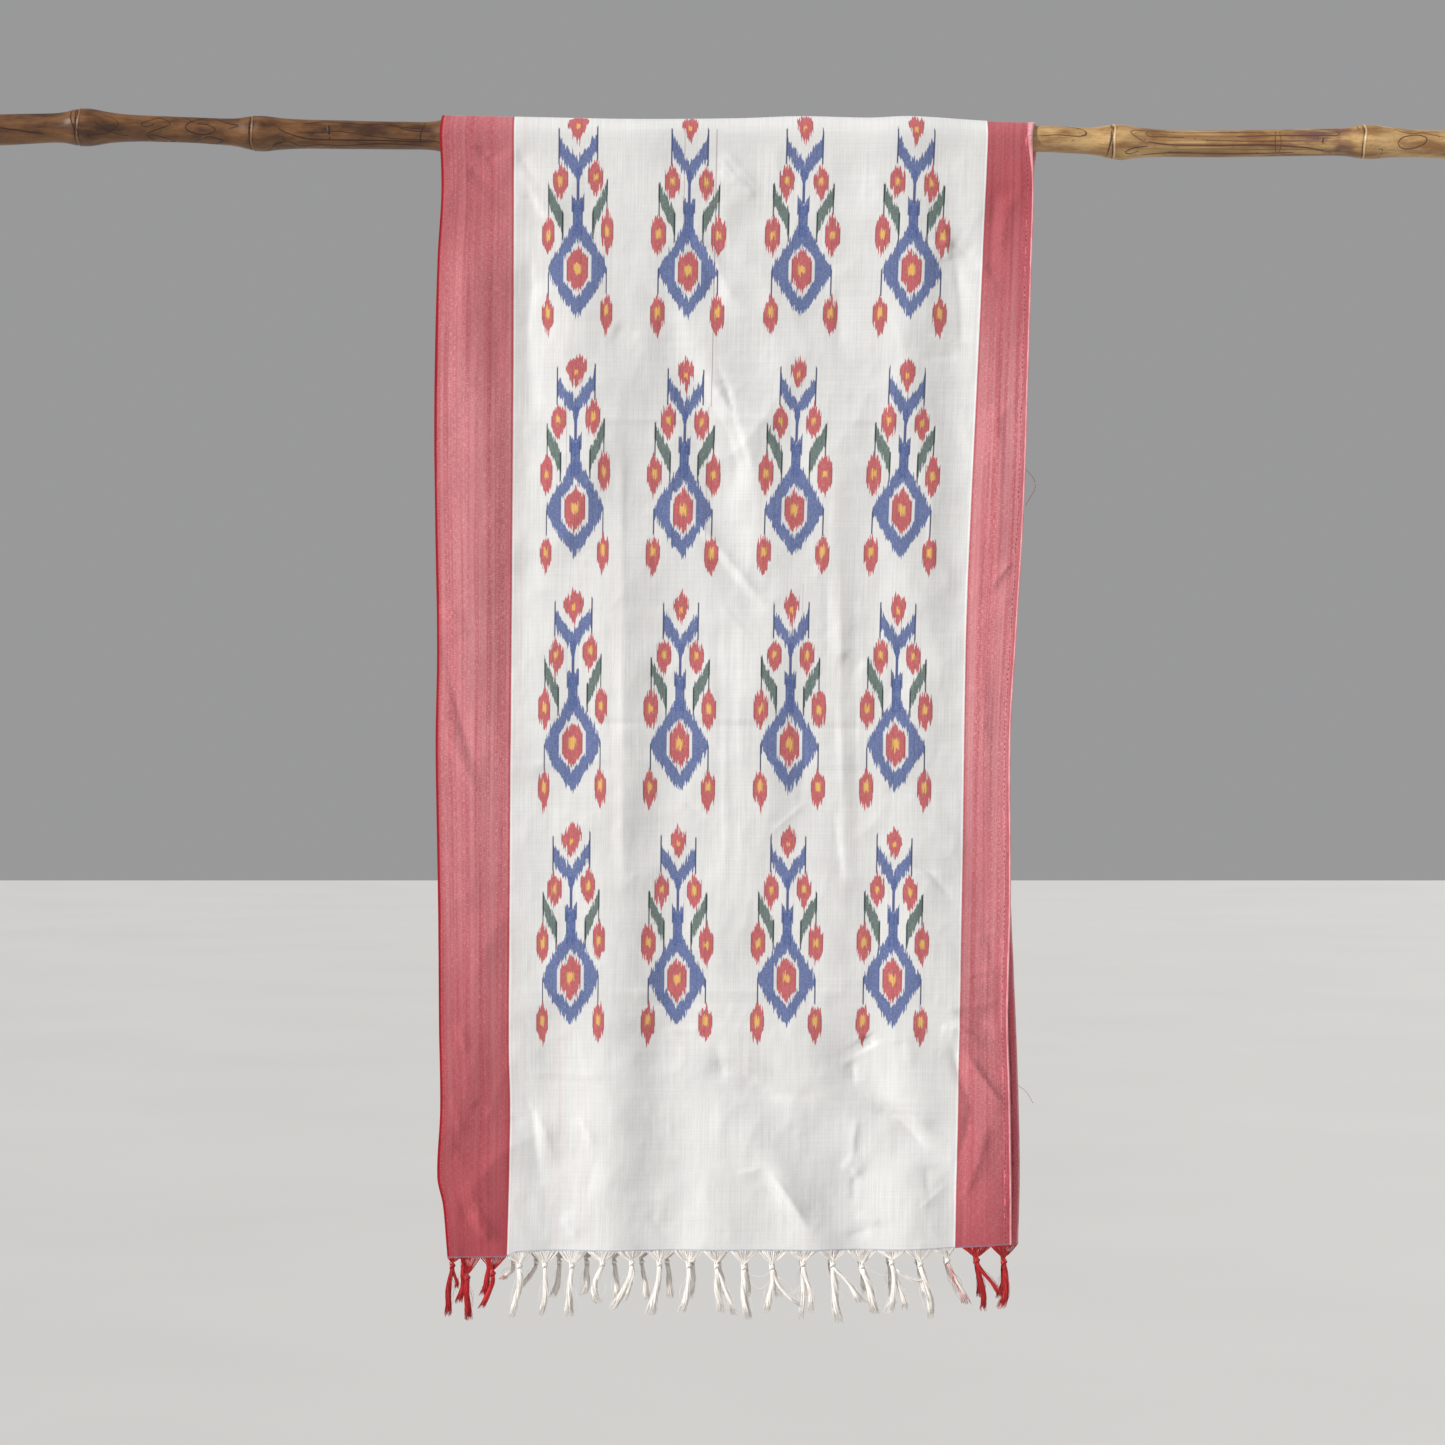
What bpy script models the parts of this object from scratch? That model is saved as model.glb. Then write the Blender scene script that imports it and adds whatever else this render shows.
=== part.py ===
"""A handwoven cotton stole draped once over a bamboo rod, with a knotted fringe at each end.

Sizes are in millimetres and become metres as each mesh is written. X runs along the rod, to the
right as the front is seen. Y runs from the front drop to the back drop, and Z is up. The origin
is on the rod's axis, at the middle of its length.
"""
import math

import bmesh
import bpy
from mathutils import Vector

MM = 0.001

# The gap between pieces that meet, and the cloth's wall.
SEAM = 0.3
WALL = 1.0

# Rod.
ROD_LENGTH = 1400.0
ROD_SIDES = 16
ROD_INTERNODE_RINGS = 2
# Its axis bends a little: place along the rod, height, and its radius between the nodes.
ROD_RUN = (
    # place, height, radius
    (-700.0, 5.8, 13.9),
    (-650.0, 7.0, 13.8),
    (-581.0, 8.9, 12.6),
    (-487.0, 6.8, 11.6),
    (-424.0, 3.8, 12.4),
    (-376.0, 3.0, 13.0),
    (-257.0, 1.3, 12.1),
    (-60.0, 0.2, 11.8),
    (0.0, 0.0, 11.7),
    (286.0, -1.4, 11.6),
    (352.0, -4.0, 11.8),
    (438.0, -5.8, 11.9),
    (578.0, -4.2, 12.2),
    (650.0, -6.4, 12.6),
    (700.0, -8.0, 12.8),
)
# Bamboo nodes: place along the rod and radius of the ridge. Three of them are under the cloth.
ROD_NODES = (
    # place, radius
    (-581.0, 17.0),
    (-424.0, 15.8),
    (-259.0, 15.6),
    (-62.0, 14.6),
    (165.0, 16.4),
    (352.0, 15.4),
    (578.0, 15.4),
)
# Profile of a node: distance from its ridge, and share of the swelling left there.
NODE_PROFILE = (
    # distance, share
    (-16.0, 0.0),
    (-7.0, 0.45),
    (-2.0, 0.7),
    (0.0, 1.0),
    (2.5, 0.6),
    (7.0, 0.4),
    (16.0, 0.0),
)

# Cloth over the rod: place across, and height of its upper side above the origin.
CLOTH_TOP = (
    # place, height
    (-260.0, 20.6),
    (-165.0, 18.4),
    (-75.0, 16.7),
    (16.0, 17.5),
    (70.0, 19.3),
    (133.0, 18.0),
    (170.0, 19.3),
    (240.0, 15.0),
    (282.0, 13.4),
)
# How far the cloth stands off the rod at its sides, and how wide it tents over a node.
HUG_CLEARANCE = 1.3
TENT_REACH = 38.0
# Where the drops hang, from the rod's axis, and how far down they take to reach that plane.
HANG_DEPTH = 15.5
HANG_EASE = 130.0
FOLD_EASE = 70.0

# Edges of the two drops: height, left edge, right edge.
FRONT_EDGES = (
    # height, left, right
    (-1004.0, -247.5, 259.6),
    (-957.0, -251.6, 259.5),
    (-932.0, -256.6, 259.3),
    (-872.0, -253.9, 258.3),
    (-797.0, -254.9, 256.5),
    (-689.0, -255.8, 259.0),
    (-545.0, -257.9, 258.8),
    (-455.0, -256.6, 263.9),
    (-347.0, -258.4, 270.5),
    (-239.0, -259.2, 274.3),
    (-112.0, -256.3, 278.1),
    (-52.0, -252.8, 279.9),
    (0.0, -254.4, 278.6),
)
BACK_EDGES = (
    # height, left, right
    (-1004.0, -245.0, 268.0),
    (-932.0, -247.0, 269.5),
    (-835.0, -246.0, 267.2),
    (-716.0, -249.0, 262.4),
    (-545.0, -251.0, 256.0),
    (-347.0, -252.0, 266.0),
    (-130.0, -250.0, 275.5),
    (-37.0, -249.0, 281.5),
    (0.0, -250.0, 286.0),
)
# Hem lines of the two drops: place across, and height. The red border hangs a little lower.
FRONT_HEM = (
    # place, height
    (-262.0, -1010.5),
    (-197.0, -1010.0),
    (-185.0, -1006.0),
    (-60.0, -1004.6),
    (160.0, -1003.8),
    (225.0, -1001.2),
    (262.0, -998.6),
)
BACK_HEM = (
    # place, height
    (-262.0, -1007.0),
    (-190.0, -1005.0),
    (20.0, -1003.5),
    (272.0, -1002.5),
)
# Largest folds: upper end, lower end, half width, and depth outwards or, where negative, inwards.
FRONT_FOLDS = (
    # upper_x, upper_z, lower_x, lower_z, half_width, depth
    (-222.0, -130.0, -226.0, -860.0, 24.0, 3.2),
    (-176.0, -150.0, -186.0, -470.0, 20.0, -3.0),
    (-150.0, -60.0, -120.0, -260.0, 30.0, 2.6),
    (-42.0, -190.0, 24.0, -420.0, 20.0, -3.2),
    (30.0, -330.0, 40.0, -560.0, 26.0, 2.8),
    (100.0, -330.0, 104.0, -760.0, 26.0, 3.0),
    (206.0, -90.0, 214.0, -420.0, 22.0, -3.0),
    (-92.0, -420.0, -86.0, -900.0, 30.0, 2.6),
    (-20.0, -830.0, 60.0, -880.0, 30.0, -3.4),
    (125.0, -840.0, 190.0, -930.0, 24.0, -4.2),
    (214.0, -780.0, 236.0, -985.0, 22.0, 3.6),
    (32.0, -910.0, 84.0, -992.0, 18.0, 3.0),
    (-232.0, -930.0, -203.0, -1000.0, 18.0, 2.6),
    (-150.0, -830.0, -140.0, -1000.0, 28.0, -2.6),
)
BACK_FOLDS = (
    # upper_x, upper_z, lower_x, lower_z, half_width, depth
    (-214.0, -120.0, -220.0, -720.0, 24.0, 3.0),
    (-160.0, -200.0, -178.0, -560.0, 22.0, -2.8),
    (-96.0, -70.0, -70.0, -330.0, 28.0, 2.6),
    (-20.0, -260.0, -36.0, -700.0, 26.0, -3.0),
    (52.0, -150.0, 66.0, -520.0, 26.0, 3.0),
    (130.0, -330.0, 118.0, -860.0, 28.0, -3.0),
    (216.0, -120.0, 222.0, -560.0, 22.0, 2.8),
    (-130.0, -700.0, -112.0, -985.0, 26.0, 3.4),
    (40.0, -800.0, 20.0, -990.0, 28.0, 3.2),
    (196.0, -720.0, 214.0, -980.0, 24.0, -3.4),
)
# Soft waves across each drop, which grow towards the hem: length, depth at the hem, and phase.
FRONT_WAVES = (
    # length, depth, phase
    (148.0, 2.4, 0.4),
    (91.0, 1.4, 2.2),
)
BACK_WAVES = (
    # length, depth, phase
    (162.0, 2.4, 1.7),
    (98.0, 1.5, 0.3),
)
# The hem is drawn towards the viewer or away: height of the bow's middle, its reach, its depth.
FRONT_BOW = (-560.0, 260.0, 2.0)
BACK_BOW = (-500.0, 300.0, 1.5)

# Turned hem on the right long edge.
HEM_WIDTH = 6.0
HEM_WALL = 0.9

# Mesh of the cloth.
COLUMNS = 29
DROP_ROWS = 18
OVER_ROWS = 9

# Where the woven borders end at each hem, which parts the fringe's red warps from its white ones.
FRONT_BORDERS = (-194.0, 209.5)
BACK_BORDERS = (-187.0, 213.0)
# Fringe: band of unwoven warp under the hem, webs drawn into knots, and the knots' own size.
BAND_HEIGHT = 3.6
BAND_WALL = 0.9
WEB_SHAPE = (
    # distance from the knot in half pitches, share of the drop to the knot
    (0.5, 0.22),
    (1.0, 0.0),
)
WEB_END = 1.6
KNOT_WIDTH = 3.1
KNOT_DEPTH = 2.7
KNOT_HEIGHT = 5.4
NECK_SHARE = 0.78
STRAND_ROOT = 0.62
STRAND_TIP = 0.55
FRONT_TASSELS = (
    # knot_x, knot_z, tip_x, tip_z, splay
    (-243.0, -1015.0, -247.0, -1062.0, 2.8),
    (-229.5, -1026.0, -228.5, -1066.0, 2.6),
    (-206.6, -1022.0, -215.5, -1055.0, 2.6),
    (-182.7, -1015.6, -189.7, -1063.2, 2.8),
    (-159.8, -1015.1, -162.5, -1061.4, 2.8),
    (-135.5, -1015.6, -138.5, -1063.2, 3.6),
    (-107.7, -1012.9, -112.1, -1050.0, 2.8),
    (-81.5, -1012.5, -97.0, -1056.0, 3.2),
    (-56.7, -1013.8, -65.3, -1061.4, 3.6),
    (-30.2, -1015.1, -37.4, -1059.6, 3.4),
    (-5.0, -1015.1, 4.6, -1060.0, 4.6),
    (19.4, -1016.5, 22.6, -1065.0, 3.0),
    (44.6, -1016.5, 40.3, -1058.0, 3.8),
    (72.5, -1013.3, 70.5, -1064.1, 4.4),
    (99.2, -1013.8, 105.0, -1068.6, 3.8),
    (125.6, -1016.5, 137.0, -1060.5, 3.8),
    (152.2, -1012.0, 156.0, -1059.6, 4.8),
    (177.8, -1013.3, 186.8, -1063.2, 3.6),
    (202.5, -1010.5, 214.0, -1052.0, 3.2),
    (229.0, -1010.0, 234.5, -1057.0, 3.0),
    (253.5, -1011.5, 251.9, -1054.2, 2.8),
)
BACK_TASSELS = 21
BACK_KNOT_DROP = 11.5
BACK_TIP_DROP = 52.0
BACK_SPLAY = 2.8
# Sway of the back tassels' tips, taken in turn.
BACK_SWAYS = (
    # sideways, upwards
    (-5.0, 4.0),
    (-3.0, 0.0),
    (-8.0, 6.0),
    (-2.0, 3.0),
    (3.0, 1.0),
    (6.0, 7.0),
    (1.0, 2.0),
)
FRONT_STRANDS = 6
BACK_STRANDS = 4

COLOURS = {
    # name: colour, roughness
    "bamboo": ((0.36, 0.22, 0.10, 1.0), 0.5),
    "field": ((0.76, 0.75, 0.71, 1.0), 0.9),
    "hem": ((0.52, 0.08, 0.10, 1.0), 0.9),
    "white_fringe": ((0.80, 0.74, 0.66, 1.0), 0.85),
    "red_fringe": ((0.50, 0.01, 0.02, 1.0), 0.85),
}


def clear_scene():
    for thing in list(bpy.data.objects):
        bpy.data.objects.remove(thing, do_unlink=True)


def add_object(name, mesh_data, colour_name):
    """Writes vertices in millimetres and faces as one object with its own material."""
    vertices, faces = mesh_data
    mesh = bpy.data.meshes.new(name)
    mesh.from_pydata([Vector(v) * MM for v in vertices], [], faces)
    tidy = bmesh.new()
    tidy.from_mesh(mesh)
    bmesh.ops.recalc_face_normals(tidy, faces=tidy.faces)
    tidy.to_mesh(mesh)
    tidy.free()
    mesh.shade_smooth()
    mesh.set_sharp_from_angle(angle=math.radians(40))
    colour, roughness = COLOURS[colour_name]
    material = bpy.data.materials.new(name + "_" + colour_name)
    material.use_nodes = True
    shader = material.node_tree.nodes["Principled BSDF"]
    shader.inputs["Base Color"].default_value = colour
    shader.inputs["Roughness"].default_value = roughness
    shader.inputs["Metallic"].default_value = 0.0
    mesh.materials.append(material)
    item = bpy.data.objects.new(name, mesh)
    bpy.context.scene.collection.objects.link(item)
    return item


def read_off(table, column, place):
    """A column's value at a place along the first column, on a smooth curve through the rows."""
    last = len(table) - 1
    if place <= table[0][0]:
        return table[0][column]
    if place >= table[last][0]:
        return table[last][column]
    row = max(i for i in range(last) if table[i][0] <= place)

    def slope(i):
        before, after = max(i - 1, 0), min(i + 1, last)
        return (table[after][column] - table[before][column]) / (table[after][0] - table[before][0])

    start, end = table[row], table[row + 1]
    step = end[0] - start[0]
    t = (place - start[0]) / step
    return (
        start[column] * (1 + 2 * t) * (1 - t) ** 2
        + slope(row) * step * t * (1 - t) ** 2
        + end[column] * t * t * (3 - 2 * t)
        + slope(row + 1) * step * t * t * (t - 1)
    )


def rod_height(x):
    return read_off(ROD_RUN, 1, x)


def rod_radius(x):
    """Radius between nodes, swelled at each node to its ridge."""
    plain = read_off(ROD_RUN, 2, x)
    radius = plain
    for place, ridge in ROD_NODES:
        distance = x - place
        if NODE_PROFILE[0][0] < distance < NODE_PROFILE[-1][0]:
            for (near, low), (far, high) in zip(NODE_PROFILE, NODE_PROFILE[1:]):
                if near <= distance <= far:
                    share = low + (high - low) * (distance - near) / (far - near)
                    radius = max(radius, plain + (ridge - plain) * share)
    return radius


def cloth_stand_off(x):
    """Distance of the cloth's middle from the rod's axis, at the rod's front and back."""
    plain = read_off(ROD_RUN, 2, x)
    tent = sum(
        (ridge - read_off(ROD_RUN, 2, place)) * math.exp(-(((x - place) / TENT_REACH) ** 2))
        for place, ridge in ROD_NODES
    )
    return plain + tent + HUG_CLEARANCE + WALL / 2


def fold_depth(folds, x, z):
    """Soft troughs and ridges, each along a straight run with faded ends."""
    total = 0.0
    for upper_x, upper_z, lower_x, lower_z, half_width, depth in folds:
        run_x, run_z = lower_x - upper_x, lower_z - upper_z
        length = math.hypot(run_x, run_z)
        share = ((x - upper_x) * run_x + (z - upper_z) * run_z) / length**2
        aside = ((x - upper_x) * run_z - (z - upper_z) * run_x) / length
        beyond = max(-share, share - 1, 0.0) * length
        total += depth * math.exp(-((aside / half_width) ** 2) - (beyond / (2 * half_width)) ** 2)
    return total


def wave_depth(waves, x, z):
    return sum(
        depth * min(1.0, -z / 1000.0) * math.sin(2 * math.pi * x / length + phase)
        for length, depth, phase in waves
    )


def drop_point(side, across, up):
    """Middle of the cloth on a drop: across from the left edge, up from the hem to the rod."""
    edges, hem, folds, waves, bow = side["shape"]
    level = edges[0][0] * (1 - up)
    left = read_off(edges, 1, level)
    right = read_off(edges, 2, level)
    x = left + (right - left) * across
    low, high = read_off(hem, 1, x), rod_height(x) - SEAM / 2
    z = low + (high - low) * up
    down = max(high - z, 0.0)
    plain = HANG_DEPTH + (cloth_stand_off(x) - HANG_DEPTH) * math.exp(-down / HANG_EASE)
    middle, reach, depth = bow
    soft = fold_depth(folds, x, z) + wave_depth(waves, x, z)
    soft += depth * math.exp(-(((z - middle) / reach) ** 2))
    out = plain + soft * (1 - math.exp(-((down / FOLD_EASE) ** 2)))
    return Vector((x, side["facing"] * out, z))


def over_point(across, round_it):
    """Middle of the cloth over the rod: across from the left edge, round from front to back."""
    left = FRONT_EDGES[-1][1] + (BACK_EDGES[-1][1] - FRONT_EDGES[-1][1]) * round_it
    right = FRONT_EDGES[-1][2] + (BACK_EDGES[-1][2] - FRONT_EDGES[-1][2]) * round_it
    x = left + (right - left) * across
    wide = cloth_stand_off(x)
    high = read_off(CLOTH_TOP, 1, x) - rod_height(x) - WALL / 2
    start = SEAM / 2 / high
    angle = start + (math.pi - 2 * start) * round_it
    return Vector((x, -wide * math.cos(angle), rod_height(x) + high * math.sin(angle)))


FRONT = {"facing": -1, "shape": (FRONT_EDGES, FRONT_HEM, FRONT_FOLDS, FRONT_WAVES, FRONT_BOW)}
BACK = {"facing": 1, "shape": (BACK_EDGES, BACK_HEM, BACK_FOLDS, BACK_WAVES, BACK_BOW)}


def front_surface(across, up):
    return drop_point(FRONT, across, up)


def back_surface(across, up):
    return drop_point(BACK, across, 1 - up)


def outward(surface, across, along, step=0.004):
    """Unit vector out of the cloth's outer side, away from the rod."""
    sideways = surface(min(across + step, 1), along) - surface(max(across - step, 0), along)
    lengthways = surface(across, min(along + step, 1)) - surface(across, max(along - step, 0))
    return sideways.cross(lengthways).normalized()


def edge_share(length_across):
    return HEM_WIDTH / length_across


def wall_mesh(surface, columns, rows, thickness, moved_out=0.0):
    """A closed wall along a surface, moved out from its middle by a distance."""
    vertices = []
    for side in (0.5, -0.5):
        for along in rows:
            for across in columns:
                away = outward(surface, across, along) * (moved_out + side * thickness)
                vertices.append(surface(across, along) + away)
    wide, long = len(columns), len(rows)
    layer = wide * long

    def spot(side, row, column):
        return side * layer + row * wide + column

    faces = []
    for row in range(long - 1):
        for column in range(wide - 1):
            square = ((row, column), (row, column + 1), (row + 1, column + 1), (row + 1, column))
            a, b, c, d = (spot(0, i, j) for i, j in square)
            faces += [(a, b, c), (a, c, d)]
            a, b, c, d = (spot(1, i, j) for i, j in square)
            faces += [(c, b, a), (d, c, a)]
    rim = [(0, j) for j in range(wide)]
    rim += [(i, wide - 1) for i in range(1, long)]
    rim += [(long - 1, j) for j in range(wide - 2, -1, -1)]
    rim += [(i, 0) for i in range(long - 2, 0, -1)]
    for here, there in zip(rim, rim[1:] + rim[:1]):
        faces.append((spot(0, *there), spot(0, *here), spot(1, *here), spot(1, *there)))
    return vertices, faces


def cloth_columns():
    """Even columns across the cloth, with one where the turned hem begins."""
    hem_start = 1 - edge_share(FRONT_EDGES[0][2] - FRONT_EDGES[0][1])
    return [hem_start * i / (COLUMNS - 1) for i in range(COLUMNS)] + [1.0]


def even_rows(count):
    return [i / count for i in range(count + 1)]


def add_cloth():
    """The three stretches of the cloth, each with its stretch of turned hem."""
    columns = cloth_columns()
    inside = -(WALL / 2 + SEAM + HEM_WALL / 2)
    for name, surface, count in (
        ("front_drop", front_surface, DROP_ROWS),
        ("over_rod", over_point, OVER_ROWS),
        ("back_drop", back_surface, DROP_ROWS),
    ):
        rows = even_rows(count)
        add_object(name, wall_mesh(surface, columns, rows, WALL), "field")
        hem_name = "edge_hem_" + name.split("_")[0]
        hem = wall_mesh(surface, columns[-2:], rows, HEM_WALL, inside)
        add_object(hem_name, hem, "hem")


def rod_places():
    """Places of the rod's rings: each node's profile, and even rings between the nodes."""
    ends = [-ROD_LENGTH / 2]
    places = []
    for place, _ in ROD_NODES:
        profile = [place + distance for distance, _ in NODE_PROFILE]
        places += profile
        ends += [profile[0], profile[-1]]
    ends.append(ROD_LENGTH / 2)
    for start, end in zip(ends[::2], ends[1::2]):
        count = ROD_INTERNODE_RINGS + 1
        places += [start + (end - start) * i / count for i in range(1, count)]
    return sorted(places + [ends[0], ends[-1]])


def add_rod():
    """One solid stem, round, with a ridge at each node and both ends cut square."""
    vertices, faces = [], []
    places = rod_places()
    for x in places:
        radius = rod_radius(x)
        for side in range(ROD_SIDES):
            angle = 2 * math.pi * side / ROD_SIDES
            height = rod_height(x) + radius * math.sin(angle)
            vertices.append((x, radius * math.cos(angle), height))
    for ring in range(len(places) - 1):
        for side in range(ROD_SIDES):
            after = (side + 1) % ROD_SIDES
            near, far = ring * ROD_SIDES, (ring + 1) * ROD_SIDES
            faces.append((near + side, near + after, far + after, far + side))
    last = (len(places) - 1) * ROD_SIDES
    faces.append(tuple(range(ROD_SIDES)))
    faces.append(tuple(last + side for side in range(ROD_SIDES)))
    add_object("rod", (vertices, faces), "bamboo")


class Fringe:
    """One closed body: a band under the hem, webs drawn into knots, and strands below them."""

    def __init__(self, hem_points, tassels, start, end, strands, bends):
        self.hem_points = hem_points
        self.tassels = tassels
        self.start = start
        self.end = end
        self.strands = strands
        self.bends = bends
        self.vertices = []
        self.faces = []

    def under_hem(self, x):
        """Depth and height of the hem at a place across, on the straight runs of its mesh."""
        for a, b in zip(self.hem_points, self.hem_points[1:]):
            if a.x <= x <= b.x:
                share = (x - a.x) / (b.x - a.x)
                return a.y + (b.y - a.y) * share, a.z + (b.z - a.z) * share
        nearest = self.hem_points[0] if x < self.hem_points[0].x else self.hem_points[-1]
        return nearest.y, nearest.z

    def add(self, *points):
        first = len(self.vertices)
        self.vertices += points
        return list(range(first, first + len(points)))

    def band_column(self, x, low):
        """Four points of the band at a place: upper and lower, front and back."""
        y, z = self.under_hem(x)
        near, far = y - BAND_WALL / 2, y + BAND_WALL / 2
        top = z - SEAM
        return self.add((x, near, top), (x, near, low), (x, far, low), (x, far, top))

    def columns(self):
        """Places across the band, with the band's lower edge there and the tassel it ends in."""
        rows = []
        reach = [self.start]
        reach += [(a[0] + b[0]) / 2 for a, b in zip(self.tassels, self.tassels[1:])]
        reach.append(self.end)
        hem_breaks = [p.x for p in self.hem_points if self.start < p.x < self.end]
        for tassel, left, right in zip(self.tassels, reach, reach[1:]):
            knot_x, knot_z = tassel[0], tassel[1]
            for side, limit in ((-1, left), (1, right)):
                half = abs(limit - knot_x)
                for distance, share in WEB_SHAPE:
                    x = knot_x + side * half * distance
                    plain = self.under_hem(x)[1] - SEAM - BAND_HEIGHT
                    rows.append((x, plain + (knot_z - plain) * share, None))
            for shift in (-WEB_END, 0.0, WEB_END):
                rows.append((knot_x + shift, knot_z, tassel))
        rows = {round(row[0], 4): row for row in rows}
        rows = [rows[key] for key in sorted(rows)]
        for x in hem_breaks:
            if min(abs(x - row[0]) for row in rows) > 0.8:
                before = max((r for r in rows if r[0] < x), key=lambda r: r[0])
                after = min((r for r in rows if r[0] > x), key=lambda r: r[0])
                share = (x - before[0]) / (after[0] - before[0])
                if before[2] is None or after[2] is None:
                    rows.append((x, before[1] + (after[1] - before[1]) * share, None))
                    rows.sort(key=lambda r: r[0])
        return rows

    def build(self):
        rows = self.columns()
        rings = [self.band_column(x, low) for x, low, _ in rows]
        for ring, after in zip(rings, rings[1:]):
            for side in (0, 2, 3):
                other = (side + 1) % 4
                self.faces.append((ring[side], ring[other], after[other], after[side]))
        self.faces.append(tuple(rings[0]))
        self.faces.append(tuple(reversed(rings[-1])))
        index = 0
        while index < len(rows) - 1:
            tassel = rows[index][2]
            if tassel is None or rows[index + 1][2] is None:
                pair = (rings[index], rings[index + 1])
                self.faces.append((pair[0][1], pair[0][2], pair[1][2], pair[1][1]))
                index += 1
                continue
            left, middle, right = rings[index : index + 3]
            mouth = [left[1], middle[1], right[1], right[2], middle[2], left[2]]
            self.tassel(mouth, tassel)
            index += 2
        return self.vertices, self.faces

    def ring(self, x, y, z, wide, deep):
        """Six points round a knot, in the same order as the mouth of a web."""
        shape = ((-1, -0.5), (0, -1), (1, -0.5), (1, 0.5), (0, 1), (-1, 0.5))
        return self.add(*((x + wide * a, y + deep * b, z) for a, b in shape))

    def join(self, upper, lower):
        for side in range(len(upper)):
            after = (side + 1) % len(upper)
            self.faces.append((upper[side], upper[after], lower[after], lower[side]))

    def tassel(self, mouth, tassel):
        """A knot below the web's mouth, and strands from the sectors of its underside."""
        knot_x, knot_z, tip_x, tip_z, splay = tassel
        y = self.under_hem(knot_x)[0]
        middle = self.ring(knot_x, y, knot_z - KNOT_HEIGHT / 2, KNOT_WIDTH, KNOT_DEPTH)
        neck_z = knot_z - KNOT_HEIGHT
        neck = self.ring(
            knot_x, y, neck_z, KNOT_WIDTH * NECK_SHARE, KNOT_DEPTH * NECK_SHARE
        )
        self.join(mouth, middle)
        self.join(middle, neck)
        centre = self.add((knot_x, y, neck_z))[0]
        for side in range(6):
            corners = [neck[side], neck[(side + 1) % 6], centre]
            if side >= self.strands:
                self.faces.append(tuple(corners))
                continue
            self.strand(corners, side, (knot_x, y, neck_z), (tip_x, y, tip_z), splay)

    def strand(self, corners, side, root, tip, splay):
        """A three-sided strand that leaves its sector and ends apart from its neighbours."""
        places = [Vector(self.vertices[i]) for i in corners]
        middle = sum(places, Vector()) / 3
        angle = math.radians(60 * side + 210)
        fan = Vector((math.cos(angle) * splay, math.sin(angle) * splay * 0.8, 0.0))
        end = Vector(tip) + fan + Vector((0.0, 0.0, 1.6 * (side % 3)))
        ring = list(corners)
        for step in range(self.bends + 1):
            share = step / self.bends
            spot = middle + (end - middle) * share
            if 0 < share < 1:
                sag = (tip[0] - root[0]) * 0.16
                spot += Vector((-sag, 0.0, 0.0))
            size = STRAND_ROOT + (STRAND_TIP - STRAND_ROOT) * share
            around = [(place - middle) * size for place in places]
            new = self.add(*(tuple(spot + offset) for offset in around))
            self.join(ring, new)
            ring = new
        self.faces.append(tuple(ring))


def hem_middles(surface, along):
    return [surface(across, along) for across in cloth_columns()]


def back_tassels(hem_points):
    """Knots at an even pitch along the back hem, with tips that sway in turn."""
    left, right = hem_points[0].x, hem_points[-1].x
    pitch = (right - left) / BACK_TASSELS
    rows = []
    for i in range(BACK_TASSELS):
        x = left + pitch * (i + 0.5)
        hem = BACK_HEM[0][1] if x < BACK_BORDERS[0] else BACK_HEM[-1][1]
        sideways, upwards = BACK_SWAYS[i % len(BACK_SWAYS)]
        tip_z = hem - BACK_TIP_DROP + upwards
        rows.append((x, hem - BACK_KNOT_DROP, x + sideways, tip_z, BACK_SPLAY))
    return rows


def add_fringe(end_name, surface, along, tassels, borders, strands, bends):
    """The three groups of one end's fringe: left border, field and right border."""
    hem_points = hem_middles(surface, along)
    tassels = tassels or back_tassels(hem_points)
    limits = (hem_points[0].x, *borders, hem_points[-1].x)
    groups = (("left", "red_fringe"), ("field", "white_fringe"), ("right", "red_fringe"))
    for (name, colour), start, end in zip(groups, limits, limits[1:]):
        start = start + (SEAM / 2 if start in borders else 0)
        end = end - (SEAM / 2 if end in borders else 0)
        own = [row for row in tassels if start < row[0] < end]
        fringe = Fringe(hem_points, own, start, end, strands, bends)
        add_object("fringe_" + end_name + "_" + name, fringe.build(), colour)


def main():
    clear_scene()
    add_rod()
    add_cloth()
    add_fringe("front", front_surface, 0.0, FRONT_TASSELS, FRONT_BORDERS, FRONT_STRANDS, 2)
    add_fringe("back", back_surface, 1.0, None, BACK_BORDERS, BACK_STRANDS, 1)


main()
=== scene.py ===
"""Looks of the ikat stole on its bamboo rod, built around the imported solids.

Tables are in millimetres and become metres as each mesh is written. X runs along the rod, Y from
the front drop to the back drop, Z up, from the middle of the rod's axis.
"""

import math

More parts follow.
